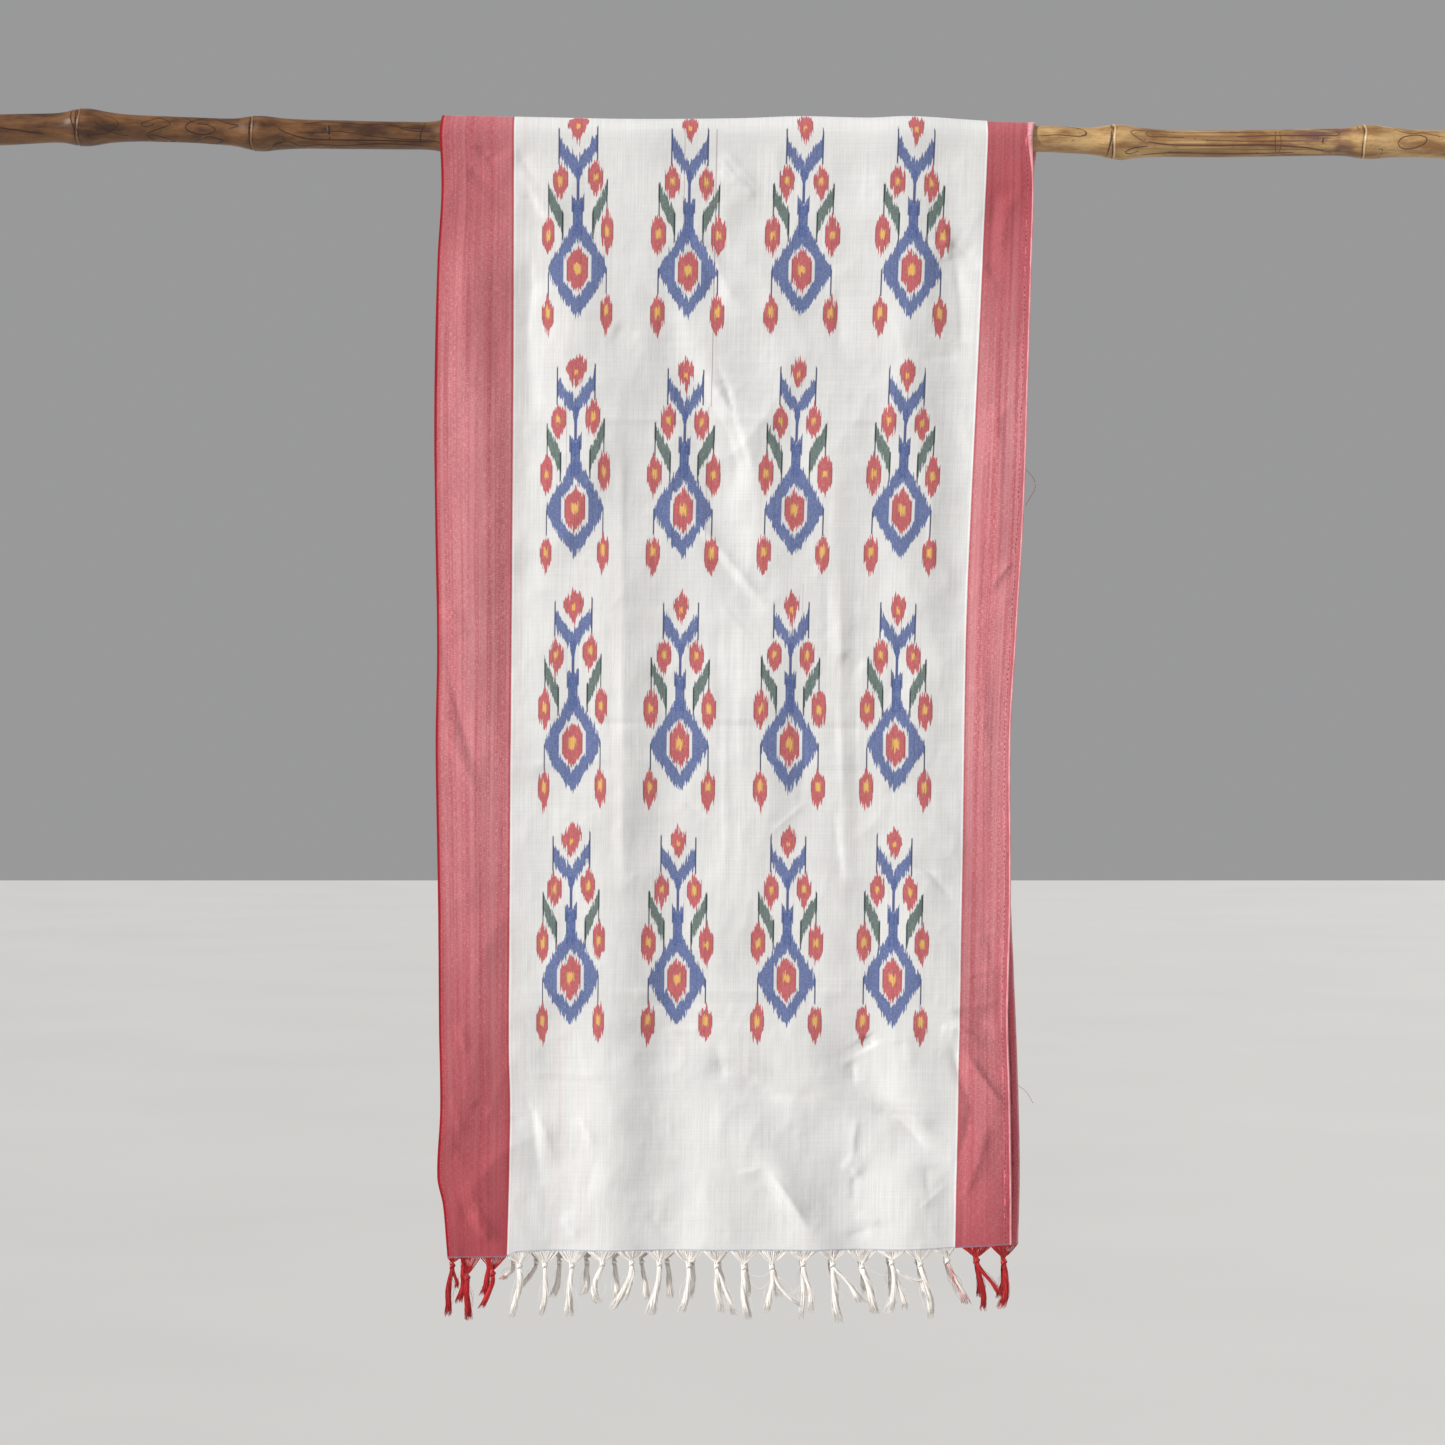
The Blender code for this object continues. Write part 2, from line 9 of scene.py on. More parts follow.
import bpy
import numpy as np
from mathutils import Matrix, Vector


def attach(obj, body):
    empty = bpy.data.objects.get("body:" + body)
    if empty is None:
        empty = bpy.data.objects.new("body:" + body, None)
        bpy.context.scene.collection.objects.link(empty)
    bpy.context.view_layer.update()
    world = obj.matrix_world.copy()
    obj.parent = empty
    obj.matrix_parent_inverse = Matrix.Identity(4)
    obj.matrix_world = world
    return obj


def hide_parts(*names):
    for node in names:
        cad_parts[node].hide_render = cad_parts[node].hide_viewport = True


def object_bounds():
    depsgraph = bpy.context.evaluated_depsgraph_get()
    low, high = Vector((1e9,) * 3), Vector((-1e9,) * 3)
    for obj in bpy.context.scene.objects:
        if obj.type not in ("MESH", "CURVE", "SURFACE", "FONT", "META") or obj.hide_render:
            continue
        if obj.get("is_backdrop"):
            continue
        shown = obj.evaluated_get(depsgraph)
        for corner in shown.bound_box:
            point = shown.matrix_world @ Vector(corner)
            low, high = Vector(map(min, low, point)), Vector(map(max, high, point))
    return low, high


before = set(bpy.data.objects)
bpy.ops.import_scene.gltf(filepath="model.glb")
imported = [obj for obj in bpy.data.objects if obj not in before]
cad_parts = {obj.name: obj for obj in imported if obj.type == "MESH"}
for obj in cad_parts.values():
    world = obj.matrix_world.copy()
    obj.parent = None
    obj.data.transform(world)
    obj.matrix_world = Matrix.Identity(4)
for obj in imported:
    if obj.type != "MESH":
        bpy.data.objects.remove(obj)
cad_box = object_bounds()

MM = 0.001

# Shape of the rod and the cloth, as in the solids.
SEAM = 0.3
WALL = 1.0
ROD_LENGTH = 1400.0
ROD_STEPS = 280
ROD_SIDES = 48
ROD_RUN = (
    # place, height, radius
    (-700, 5.8, 13.9),
    (-650, 7, 13.8),
    (-581, 8.9, 12.6),
    (-487, 6.8, 11.6),
    (-424, 3.8, 12.4),
    (-376, 3, 13),
    (-257, 1.3, 12.1),
    (-60, 0.2, 11.8),
    (0, 0, 11.7),
    (286, -1.4, 11.6),
    (352, -4, 11.8),
    (438, -5.8, 11.9),
    (578, -4.2, 12.2),
    (650, -6.4, 12.6),
    (700, -8, 12.8),
)
ROD_NODES = (
    # place, radius
    (-581, 17),
    (-424, 15.8),
    (-259, 15.6),
    (-62, 14.6),
    (165, 16.4),
    (352, 15.4),
    (578, 15.4),
)
# A node's soft swelling, and where its thin ridge and the groove beside it are.
NODE_SHAPE = (
    # distance, share
    (-27, 0),
    (-20, 0.06),
    (-12, 0.30),
    (-5, 0.70),
    (1, 0.93),
    (8, 1),
    (14, 0.86),
    (20, 0.62),
    (28, 0.36),
    (38, 0.15),
    (48, 0.03),
    (56, 0),
)
NODE_SPAN = 56.0
# Middle, half width and height.
RIDGE = (0.8, 0.7, 0.45)
GROOVE = (-0.9, 0.7, -0.6)
# Rings of the cut ends: share of the radius, and depth into the stem.
CUT_END = ((0.97, 0.0), (0.62, 0.0), (0.55, 1.6))
# The node beside the cloth's left edge lies a little further in, under the cloth.
HIDDEN_NODE = -259.0
HIDDEN_SHIFT = 12.0
CLOTH_TOP = (
    # place, height
    (-260, 20.6),
    (-165, 18.4),
    (-75, 16.7),
    (16, 17.5),
    (70, 19.3),
    (133, 18),
    (170, 19.3),
    (240, 15),
    (282, 13.4),
)
# How the cloth lies over the rod and leaves it: its room round the bamboo, how far a node lifts
# it, how far out the drops hang, and how soon below the rod the hang, folds and creases set in.
HUG_CLEARANCE = 1.3
TENT_REACH = 38.0
HANG_DEPTH = 15.5
HANG_EASE = 130.0
FOLD_EASE = 70.0
CREASE_EASE = 16.0
# Outlines of the two drops, the level of their hems, and their broad folds and waves.
FRONT_EDGES = (
    # height, left, right
    (-1004, -247.5, 259.6),
    (-957, -251.6, 259.5),
    (-932, -256.6, 259.3),
    (-872, -253.9, 258.3),
    (-797, -254.9, 256.5),
    (-689, -255.8, 259),
    (-545, -257.9, 258.8),
    (-455, -256.6, 263.9),
    (-347, -258.4, 270.5),
    (-239, -259.2, 274.3),
    (-112, -256.3, 278.1),
    (-52, -252.8, 279.9),
    (0, -254.4, 278.6),
)
BACK_EDGES = (
    # height, left, right
    (-1004, -245, 268),
    (-932, -247, 269.5),
    (-835, -246, 267.2),
    (-716, -249, 262.4),
    (-545, -251, 256),
    (-347, -252, 266),
    (-130, -250, 275.5),
    (-37, -249, 281.5),
    (0, -250, 286),
)
FRONT_HEM = (
    # place, height
    (-262, -1010.5),
    (-197, -1010),
    (-185, -1006),
    (-60, -1004.6),
    (160, -1003.8),
    (225, -1001.2),
    (262, -998.6),
)
BACK_HEM = (
    # place, height
    (-262, -1007),
    (-190, -1005),
    (20, -1003.5),
    (272, -1002.5),
)
FRONT_FOLDS = (
    # upper_x, upper_z, lower_x, lower_z, half_width, depth
    (-222, -130, -226, -860, 24, 3.2),
    (-176, -150, -186, -470, 20, -3),
    (-150, -60, -120, -260, 30, 2.6),
    (-42, -190, 24, -420, 20, -3.2),
    (30, -330, 40, -560, 26, 2.8),
    (100, -330, 104, -760, 26, 3),
    (206, -90, 214, -420, 22, -3),
    (-92, -420, -86, -900, 30, 2.6),
    (-20, -830, 60, -880, 30, -3.4),
    (125, -840, 190, -930, 24, -4.2),
    (214, -780, 236, -985, 22, 3.6),
    (32, -910, 84, -992, 18, 3),
    (-232, -930, -203, -1000, 18, 2.6),
    (-150, -830, -140, -1000, 28, -2.6),
)
BACK_FOLDS = (
    # upper_x, upper_z, lower_x, lower_z, half_width, depth
    (-214, -120, -220, -720, 24, 3),
    (-160, -200, -178, -560, 22, -2.8),
    (-96, -70, -70, -330, 28, 2.6),
    (-20, -260, -36, -700, 26, -3),
    (52, -150, 66, -520, 26, 3),
    (130, -330, 118, -860, 28, -3),
    (216, -120, 222, -560, 22, 2.8),
    (-130, -700, -112, -985, 26, 3.4),
    (40, -800, 20, -990, 28, 3.2),
    (196, -720, 214, -980, 24, -3.4),
)
FRONT_WAVES = (
    # length, depth, phase
    (148, 2, 0.4),
    (91, 1.2, 2.2),
)
BACK_WAVES = (
    # length, depth, phase
    (162, 2.4, 1.7),
    (98, 1.5, 0.3),
)
# Each drop's slight bow outwards: middle, reach and depth.
FRONT_BOW = (-560.0, 260.0, 2.0)
BACK_BOW = (-500.0, 300.0, 1.5)

# Small crumples all over: their size, height, and the number that their places come from.
CRUMPLES = (
    (46, 0.6, 1),
    (21, 0.3, 2),
    (9, 0.09, 3),
)
# Crumples with sharp ridges, in the same way.
RIDGED_CRUMPLES = (
    (66, 1.9, 41),
    (34, 0.85, 42),
    (16, 0.26, 43),
)
# Finer creases, pressed or crushed into the cotton: the run's points, half width, and depth.
# One side of each is steep, and the other eases away over a wider stretch.
CREASE_STRENGTH = 2.1
CREASE_FADE = 0.34
CREASE_NARROWING = 0.8
CREASE_SHARPNESS = 1.15
UNEVEN_STRETCH = 17.0
EASY_SIDE = 2.8
FRONT_CREASES = (
    # points, half_width, depth
    (((-221.8, -8.4), (-212.8, -20.9)), 3.5, -0.8),
    (((-237, -21), (-220.5, -35), (-207, -47), (-189.5, -55.5), (-172, -61)), 3.4, -1.1),
    (((-222, -26), (-206, -37), (-189.5, -44)), 5, 0.9),
    (((-209.2, 5), (-198, -8), (-189.5, -17)), 7, -1),
    (((-230, -13.8), (-233.6, -166.8), (-238.1, -265.8)), 9, 1.1),
    (((-204.8, -103.8), (-200.2, -265.8)), 10, -1.2),
    (((-185.8, -22.8), (-171.5, -49.8), (-159.8, -72.2), (-136.3, -86)), 8, 1.4),
    (((-180, -38), (-168, -66), (-150, -92)), 8, -1.2),
    (((-175.1, -148.8), (-173.2, -265.8)), 8, -1),
    (((-3.1, -7.4), (19.4, -33.6), (38.2, -55.1)), 3.2, 0.9),
    (((-14.8, -9.2), (-0.5, -20.1), (20.2, -44.3)), 3.2, -0.8),
    (((10, -30), (30, -58)), 3, 0.6),
    (((-32.9, -80.3), (-6.8, -112.8), (12.2, -157.8)), 3.6, 1.1),
    (((-40, -84), (-14, -118), (4, -160)), 4.4, -0.7),
    (((-35.6, -200.1), (-12.2, -219.8), (12.2, -254.9), (23.9, -290), (25.7, -340.4)), 5, 1.5),
    (((-42, -206), (-20, -228), (2, -262), (13, -296), (15, -340)), 6, -1.4),
    (((-39.1, -325.1), (2, -378), (44.6, -430.4)), 3.2, 1),
    (((-44, -330), (-4, -382), (38, -434)), 4, -0.6),
    (((-254.2, -522.2), (-234, -566), (-213.8, -606)), 5, 1),
    (((-249.8, -418.8), (-227.2, -454.8)), 6, 0.8),
    (((-250, -640), (-224, -700)), 6, 0.7),
    (((-230, -939.9), (-218.2, -972.2), (-199.3, -997.5)), 5, 1.4),
    (((-239, -948), (-228, -980), (-210, -1003)), 6, -1),
    (((-245, -905), (-226, -918), (-205, -922)), 7, -0.9),
    (((-254.2, -257.6), (-2.2, -256.8), (274.9, -259.4)), 2.8, 0.5),
    (((-257.9, -526.8), (-20.2, -530.4), (258.8, -536.6)), 2.8, -0.55),
    (((-164.2, -562.8), (-20.2, -563.6)), 3, 0.35),
    (((-256.1, -771.5), (-2.2, -770.6), (256.9, -773.4)), 2.8, 0.5),
    (((-110.2, -783.2), (69.8, -782.4)), 3, -0.35),
    (((199.3, -91.1), (204.8, -114.6)), 6, 1.3),
    (((208, -96), (214, -150), (216, -210)), 5, -1.2),
    (((230, -106.4), (249.8, -148.8)), 5, 1.1),
    (((-89.5, -337.8), (-90.5, -724.8)), 5, 0.7),
    (((-100, -400), (-98, -700)), 7, -0.5),
    (((104, -337.8), (107, -540), (110.2, -724.8)), 5, 0.8),
    (((118, -360), (122, -700)), 7, -0.6),
    (((15.8, -382.8), (17.6, -715.8)), 9, 0.7),
    (((-15.8, -830), (15.8, -843.5), (42.8, -861.5)), 6, -1.3),
    (((-10, -820), (20, -832), (50, -850)), 6, 0.9),
    (((128.2, -864.2), (159.8, -888.5), (186.8, -915.5)), 6.5, -1.6),
    (((136, -856), (168, -880), (196, -906)), 6, 1.2),
    (((129.2, -809.4), (136.3, -822)), 6, -1.2),
    (((107.5, -922.8), (125.5, -939)), 3.5, 0.9),
    (((123.8, -921), (111.2, -942.5)), 3.5, -0.8),
    (((35.6, -923.7), (60.8, -958.8), (82.4, -990.2)), 4.5, 1.2),
    (((28, -930), (52, -964), (72, -996)), 6, -0.8),
    (((114.8, -975), (159.8, -978.5)), 4, 0.6),
    (((202, -785), (226, -782.6), (252, -779.5)), 3.5, 0.9),
    (((203.4, -786.5), (224, -796), (245, -808)), 4, -1.3),
    (((205, -797), (222, -809), (238, -822)), 3, 1.2),
    (((207, -809), (228, -811.5), (251, -816.5)), 3, -0.8),
    (((222.8, -723), (250.7, -716.7)), 2.5, 0.5),
    (((215.6, -758), (248, -751)), 2.5, 0.5),
    (((196, -802), (213, -804.5)), 3, 0.8),
    (((247, -800), (246, -818)), 2.5, 0.7),
    (((213, -817), (234, -848), (259, -882)), 4, 1.9),
    (((204, -812), (214, -850), (232, -898)), 5, -1.7),
    (((238, -886), (230, -925), (216, -962)), 5, 1.5),
    (((236, -700), (246, -760)), 6, -0.9),
    (((-176, -865.2), (-159.8, -895.8), (-149.8, -931.8)), 7, 1),
    (((-146.2, -972.2), (-128.2, -994.8)), 4, 0.6),
    (((-120, -950), (-84, -960), (-40, -956)), 5, 0.5),
    (((-70, -968), (-50, -992)), 4, -0.5),
    (((60, -520), (74, -560), (70, -610)), 7, -0.9),
    (((150, -150), (166, -200), (170, -260)), 7, 0.8),
    (((244, -200), (250, -300), (246, -420)), 7, 0.9),
    (((122.5, -872), (139.6, -880), (158.9, -885), (170, -896), (187, -920)), 4, -1),
    (((122.5, -878), (119, -905), (116, -939)), 3, 0.8),
    (((116.5, -930), (118, -964)), 2.6, -0.8),
    (((105, -921), (116, -938), (125, -912)), 2.8, 0.7),
    (((40, -930), (60, -958), (80, -991)), 2.6, 0.9),
    (((11, -934.5), (38, -930)), 2.4, 0.5),
    (((-66, -975), (-6, -976.5)), 2.4, 0.4),
    (((-6, -816), (-2, -838), (3, -853)), 5, -0.9),
    (((6.7, -849), (45, -864), (105, -866)), 8, -1.2),
    (((116, -831.5), (120, -857)), 4, -0.9),
    (((144, -816), (165, -814), (169.6, -840)), 4, 0.7),
    (((-186, -857), (-171, -879), (-166.8, -921), (-160, -956)), 7, -1.2),
    (((-130, -878.6), (-115, -913)), 2.6, 0.6),
    (((-113, -917), (-126, -973)), 6, -0.8),
    (((-192, -845), (-87.5, -847)), 2.2, 0.4),
    (((-57, -805), (-6, -804)), 2.4, 0.5),
    (((-237.5, -797), (-231, -828)), 3, 0.9),
    (((-225, -870), (-207.5, -879)), 4, -0.9),
    (((-244, -857), (-235, -904)), 4, 1),
    (((-225, -968), (-208, -997)), 3.4, 1.2),
    (((222, -868), (219, -900), (208, -934)), 5, -1.4),
    (((174, -968.6), (204, -943)), 2.6, 0.6),
    (((118, -973), (144, -981.5)), 2.6, 0.6),
    (((109.6, -990), (135, -986)), 2.6, -0.5),
    (((182.5, -926), (184.6, -956)), 2.2, -0.5),
    (((148, -924), (208, -925)), 2, 0.35),
    (((-222.5, -2.8), (-214, -15.7), (-203, -28.5)), 2.8, -0.9),
    (((-234, -38), (-212, -56), (-192, -66)), 3.4, 0.6),
    (((-186, -7), (-177.5, -28.5), (-164.7, -45.7)), 4, -1),
    (((-175, -92.8), (-171, -135.7), (-176, -190)), 5, -0.9),
    (((-6, -14), (8, -34), (20, -52)), 2.4, 0.7),
    (((-3, -30), (14, -46)), 2.4, 0.6),
    (((-31.8, -82), (-18, -100), (-6, -118.5)), 2.6, 1),
    (((-10.4, -187), (-6, -204), (4.6, -230), (11, -256), (18.6, -280), (24.7, -304),
      (24.3, -340)), 3, -1.1),
    (((-19, -220), (6.7, -222)), 2.4, 0.5),
    (((-96, -170), (-74.7, -183)), 5, -0.7),
    (((204, -92.8), (214, -102), (225, -112)), 4, -1.2),
    (((197.5, -75.7), (206, -106)), 5, 1),
    (((246.8, -41), (243, -90), (240, -144)), 8, -1.4),
    (((257, -50), (251, -106)), 7, 1.3),
    (((182, -201), (216.7, -199)), 2.4, -0.6),
    (((178, -178.5), (229.6, -191)), 2.4, 0.5),
    (((-40.6, -328), (-7.5, -370), (40, -427)), 2.4, 0.8),
    (((-5, -418), (30.4, -460)), 2.4, 0.5),
    (((2, -400), (2, -725)), 2.6, 0.45),
    (((94.4, -300), (95, -520)), 4, -0.6),
    (((186.7, -260), (187, -430)), 3, 0.45),
    (((-90, -256), (-90, -430)), 3, 0.45),
    (((104, -118), (105, -204)), 4, -0.6),
    (((106, -465), (130, -479)), 5, -0.8),
    (((-256, -436.7), (-239.6, -512.5), (-216, -602.5)), 3.4, -1),
    (((-254, -517), (-235, -541)), 3, 0.8),
    (((238.8, -413), (262.5, -380)), 3.4, 0.9),
    (((-36, -598), (-12, -617)), 2.4, -0.5),
    (((77.8, -598), (40, -631)), 2.6, 0.6),
    (((96.7, -598), (111, -683)), 6, -0.9),
    (((163, -650), (186, -664), (210, -692.5)), 3, -0.8),
    (((153.6, -659), (182, -669)), 2.6, 0.6),
    (((144, -588), (172.5, -598)), 5, -0.8),
    (((-200, -567), (-110, -566)), 2.2, 0.35),
    (((20, -567), (150, -568)), 2.2, 0.4),
    (((232, -430), (238, -560), (234, -660)), 7, 0.9),
)
BACK_CREASES = (
    # points, half_width, depth
    (((-256, -250), (0, -252), (276, -250)), 2.8, -0.5),
    (((-256, -518), (0, -522), (262, -520)), 2.8, 0.55),
    (((-254, -770), (0, -768), (266, -772)), 2.8, -0.5),
    (((-200, -30), (-176, -62), (-150, -84)), 6, 1.2),
    (((-60, -20), (-30, -58), (-20, -110)), 5, 1),
    (((90, -24), (120, -70), (126, -140)), 6, -1.1),
    (((210, -60), (226, -120), (230, -220)), 6, 1.1),
    (((-110, -250), (-80, -300), (-72, -380)), 6, 1.2),
    (((30, -330), (-10, -390), (-40, -470)), 4.5, 1),
    (((150, -400), (166, -480), (160, -600)), 7, -1),
    (((-230, -500), (-206, -570)), 6, 0.9),
    (((-170, -640), (-150, -720)), 6, -0.9),
    (((20, -640), (60, -700), (80, -780)), 6, 1.1),
    (((120, -820), (80, -880), (70, -930)), 6, -1.3),
    (((-60, -860), (-20, -900), (0, -960)), 6, 1.3),
    (((-210, -880), (-226, -940), (-220, -990)), 6, 1),
    (((220, -800), (240, -870), (248, -940)), 6, 1.2),
    (((150, -930), (180, -980)), 5, 0.9),
)

# Where the field ends on each side, by height on the front drop and on the back drop.
FRONT_BOUNDARIES = (
    # height, left, right
    (-1003.8, -194, 209.3),
    (-922.8, -191.8, 211),
    (-868.8, -191.2, 212),
    (-814.8, -192.2, 212.9),
    (-652.8, -191.2, 215.9),
    (-436.8, -189.7, 219.6),
    (-184.8, -188.1, 230.9),
    (17.8, -187.6, 239.9),
)
BACK_BOUNDARIES = (
    # height, left, right
    (-1003.8, -187, 213),
    (-700, -189, 209),
    (-420, -189, 214),
    (-150, -188, 228),
    (17.8, -187.6, 239.9),
)
# The cloth as it lies flat: borders, field, and the length from hem to hem.
LEFT_BORDER = 68.5
FIELD = 425.0
CLOTH_WIDTH = 545.0
HEM_LEVEL = -1004.6
FAR_HEM = 2061.0
# Height over which the cloth's length is measured from each hem's own line.
HEM_BLEND = 40.0

# The motifs: middle of each column across the flat cloth, whether its middle warps are spread,
# and how much higher its right half lies.
LIFT_EASE = 8.0
MOTIF_COLUMNS = (
    # middle, wide_middle, lift_on_the_right
    (126.3, 1, 3.6),
    (226.6, 0, -1.4),
    (329.7, 0, -0.4),
    (429.3, 0, -2.4),
)
# Height of the medallions above the front hem, along the cloth, for each row of motifs.
MOTIF_ROWS = (244.7, 455.4, 666.4, 882.0, 1097.0, 1309.0, 1521.0, 1733.0)
MOTIF_REACH_DOWN = 64.0
# In the first column the middle warps are spread: real distance and charted distance.
WIDE_MIDDLE = (
    # real, charted
    (0, 0),
    (9.4, 9),
    (17, 15.9),
    (22.5, 22),
    (26.3, 27.2),
    (32.9, 34.8),
    (60, 62),
)

# The motif, charted shape by shape. Places are distances from its middle line, and heights are above
# or below the middle of its medallion. A shape runs along the warp between its top and its bottom.
MOTIF_SHAPES = (
    # colour, middle, half_width, top, top_side, bottom, bottom_side, spikes, slanted
    ("leaf", 20, 7.9, 66.6, 13.4, 46.6, 16, 4.6, True),
    ("leaf_line", 27, 0.6, 79, 0, 48.6, 0, 2, False),
    ("leaf_line", 12.9, 0.6, 53, 0, 25.3, 0, 3, False),
    ("line", 16.3, 0.65, 129.5, 0, 95, 0, 3, False),
    ("line", 27, 0.65, 2, 0, -24, 0, 3, False),
    ("stem", 0, 1.25, 90, 0, 60, 0, 2, False),
    ("blue", 0, 2.6, 92, 0, 75, 8, 3, False),
    ("blue", 0, 16.2, 99.5, 22.5, 81.5, 22, 5, False),
    ("red", 0, 7.2, 139, -8, 107, 14.5, 6, False),
    ("yellow", 0, 1.6, 124.5, 0, 119.5, 0, 2.5, False),
    ("red", 15.3, 6.9, 96.5, -9, 63, 11, 5.6, False),
    ("yellow", 15.3, 2.4, 84.5, 0, 77.5, 0, 3.6, False),
    ("blue", 0, 5.5, 61.5, 6.5, 46, 6, 3, False),
    ("blue", 0, 4.3, 60, 0, 30, 0, 1, False),
    ("blue", 0, 27.2, 47.5, -44.5, -42.5, 39.5, 5, False),
    ("red", 27.2, 6.9, 51.5, -9.5, 13, 11, 5.8, False),
    ("yellow", 27.2, 2.8, 37, 0, 28.5, 0, 3.8, False),
    ("red", 27.2, 6.7, -21.5, -9, -60, 13, 5.8, False),
    ("yellow", 27.2, 2.8, -32.5, 0, -42, 0, 3.8, False),
    ("white", 0, 11.9, 26.6, -15, -25.4, 15, 4.6, False),
    ("red", 0, 9.2, 20.4, -10, -20.6, 10.5, 4.6, False),
    ("yellow", 0, 3.7, 6.4, -1.5, -4.4, 1.5, 4.2, False),
)
# The top flower is wider in the first column, where the middle warps are spread.
TOP_FLOWER = 8
TOP_FLOWER_SPREAD = 2.0
# In the front's uppermost row the top flower and its yellow middle sit higher.
HIGH_FLOWERS = (8, 9)
HIGH_ROW = (12.5, 16.5)
HIGH_FLOWER_RISE = 6.5
DYES = {
    # name: colour as it shows, 0 to 255
    "white": (229, 227, 222),
    "red": (184, 70, 74),
    "blue": (74, 92, 146),
    "line": (52, 56, 96),
    "stem": (66, 78, 130),
    "leaf": (78, 98, 92),
    "leaf_line": (50, 62, 66),
    "yellow": (230, 178, 92),
}
# Single dyed warps that stray outside the motifs: place across, from, to, and strength.
STRAY_WARPS = (
    # place, lower, upper, strength
    (250.5, 760, 1010, 0.5),
    (248, 640, 760, 0.35),
    (118, 700, 760, 0.3),
    (222, 905, 1030, 0.3),
    (340, 540, 600, 0.25),
)

# Painted shade on the borders, for their folds and the uneven light: how much darker red lies over
# them along the cloth, at the lower and upper end of each stretch.
BORDER_SHADE = (
    # lower, upper, (left, right) at the lower end, (left, right) at the upper end
    (-10, 130, (0.85, 0.72), (0.60, 0.28)),
    (130, 420, (0.60, 0.28), (0.08, 0)),
    (420, 760, (0.08, 0), (0.06, 0.08)),
    (760, 960, (0.06, 0.08), (0.38, 0.68)),
    (960, 1120, (0.38, 0.68), (0.3, 0.3)),
    (1120, 1500, (0.3, 0.3), (0, 0)),
    (1500, 1800, (0, 0), (0.2, 0.2)),
    (1800, 2070, (0.2, 0.2), (0.6, 0.5)),
)

# Turned hem on the right long edge, and its stitches.
HEM_WIDTH = 6.0
HEM_PILE = 0.5
HEM_PROFILE = (
    # from the edge inwards, out from the cloth's middle
    (6, -0.40),
    (3.5, -0.36),
    (1, -0.38),
    (0.2, -0.30),
    (-0.45, -0.1),
    (-0.5, 0.25),
    (-0.1, 0.62),
    (0.55, 0.74),
    (1.1, 0.55),
    (1.2, 0.35),
    (0.5, -0.55),
    (1, -0.95),
    (3.5, -1.05),
    (5.6, -1.02),
    (6.1, -0.75),
)
STITCH_LINE = 5.2
# Near the rod the hem's rim lies open over the border.
FLAP_FOOT = -34.0
FLAP_RISE = 46.0
FLAP_SPREAD = 3.8
STITCH_LENGTH = 2.3
STITCH_PITCH = 3.9
STITCH_RADIUS = 0.17

# Where the fringe's white warps begin and end at each end of the cloth.
FRONT_BORDERS = (-194.0, 209.5)
BACK_BORDERS = (-187.0, 213.0)
# Fringe of the front: each knot, how hollow its web is, dye, and its locks.
FRONT_TASSELS = (
    # knot_x, knot_z, hollow, dye, ((tip_x, tip_z, yarns, spread, bow), ...)
    (-243, -1015, 1.2, 1, ((-247, -1062, 34, 3.4, -2), (-239, -1038, 14, 2, 1))),
    (-229.5, -1026, 1.2, 1, ((-228.5, -1066, 38, 3.2, -1),)),
    (-206.6, -1022, 1.2, 1, ((-217.5, -1055, 30, 2.6, 1.5),)),
    (-182.7, -1015.6, 1.7, 0, ((-189.7, -1063.2, 40, 2.8, 2),)),
    (-159.8, -1015.1, 2, 0, ((-162.5, -1061.4, 40, 2.2, 1.5),)),
    (-135.5, -1015.6, 2, 0, ((-138.5, -1063.2, 40, 5, -1),)),
    (-107.7, -1012.9, 2, 0, ((-112.1, -1050, 40, 4.6, -5.5),)),
    (-81.5, -1012.5, 2, 0, ((-99.5, -1056, 32, 4, 2), (-89.6, -1049.7, 14, 2.4, 3))),
    (-56.7, -1013.8, 1.8, 0, ((-65.3, -1061.4, 44, 5.4, 1),)),
    (-30.2, -1015.1, 1.8, 0, ((-37.4, -1059.6, 40, 4, 2),)),
    (-5, -1015.1, 1.3, 0, ((-1.5, -1059, 28, 3, -1), (10.3, -1061.3, 28, 3.2, 2))),
    (19.4, -1016.5, 1.2, 0, ((22.6, -1065, 44, 3.6, -1),)),
    (44.6, -1016.5, 1.2, 0, ((38.6, -1059, 30, 4, 2), (70.6, -1054, 24, 3, -3))),
    (72.5, -1013.3, 1.2, 0, ((70.5, -1064.1, 26, 3, 1), (80.5, -1058, 24, 3.4, 2))),
    (99.2, -1013.8, 1.2, 0, ((105, -1067.6, 32, 4.4, -1), (124.6, -1050, 26, 5, 4))),
    (125.6, -1016.5, 1.2, 0, ((136.5, -1060.5, 52, 5.4, 3),)),
    (152.2, -1012, 1.2, 0, ((148.4, -1059.6, 30, 4.4, 4), (164.6, -1056.8, 24, 4, 2))),
    (177.8, -1013.3, 1.3, 0, ((186.8, -1063.2, 42, 3.2, 3.5),)),
    (202.5, -1010.5, 1.3, 0.4, ((220, -1051.5, 34, 4.6, 2),)),
    (229, -1010, 1.2, 1, ((234.5, -1057, 26, 3, 2), (250.5, -1044, 22, 2.4, 1))),
    (253.5, -1011.5, 1.2, 1, ((250.5, -1055.2, 34, 4, 3),)),
)
# A lock that hangs across from one front tassel to the next.
CROSS_LOCKS = (
    # start_x, start_z, end_x, end_z, sag, yarns
    (156.5, -1021, 183, -1029, 4.5, 16),
)
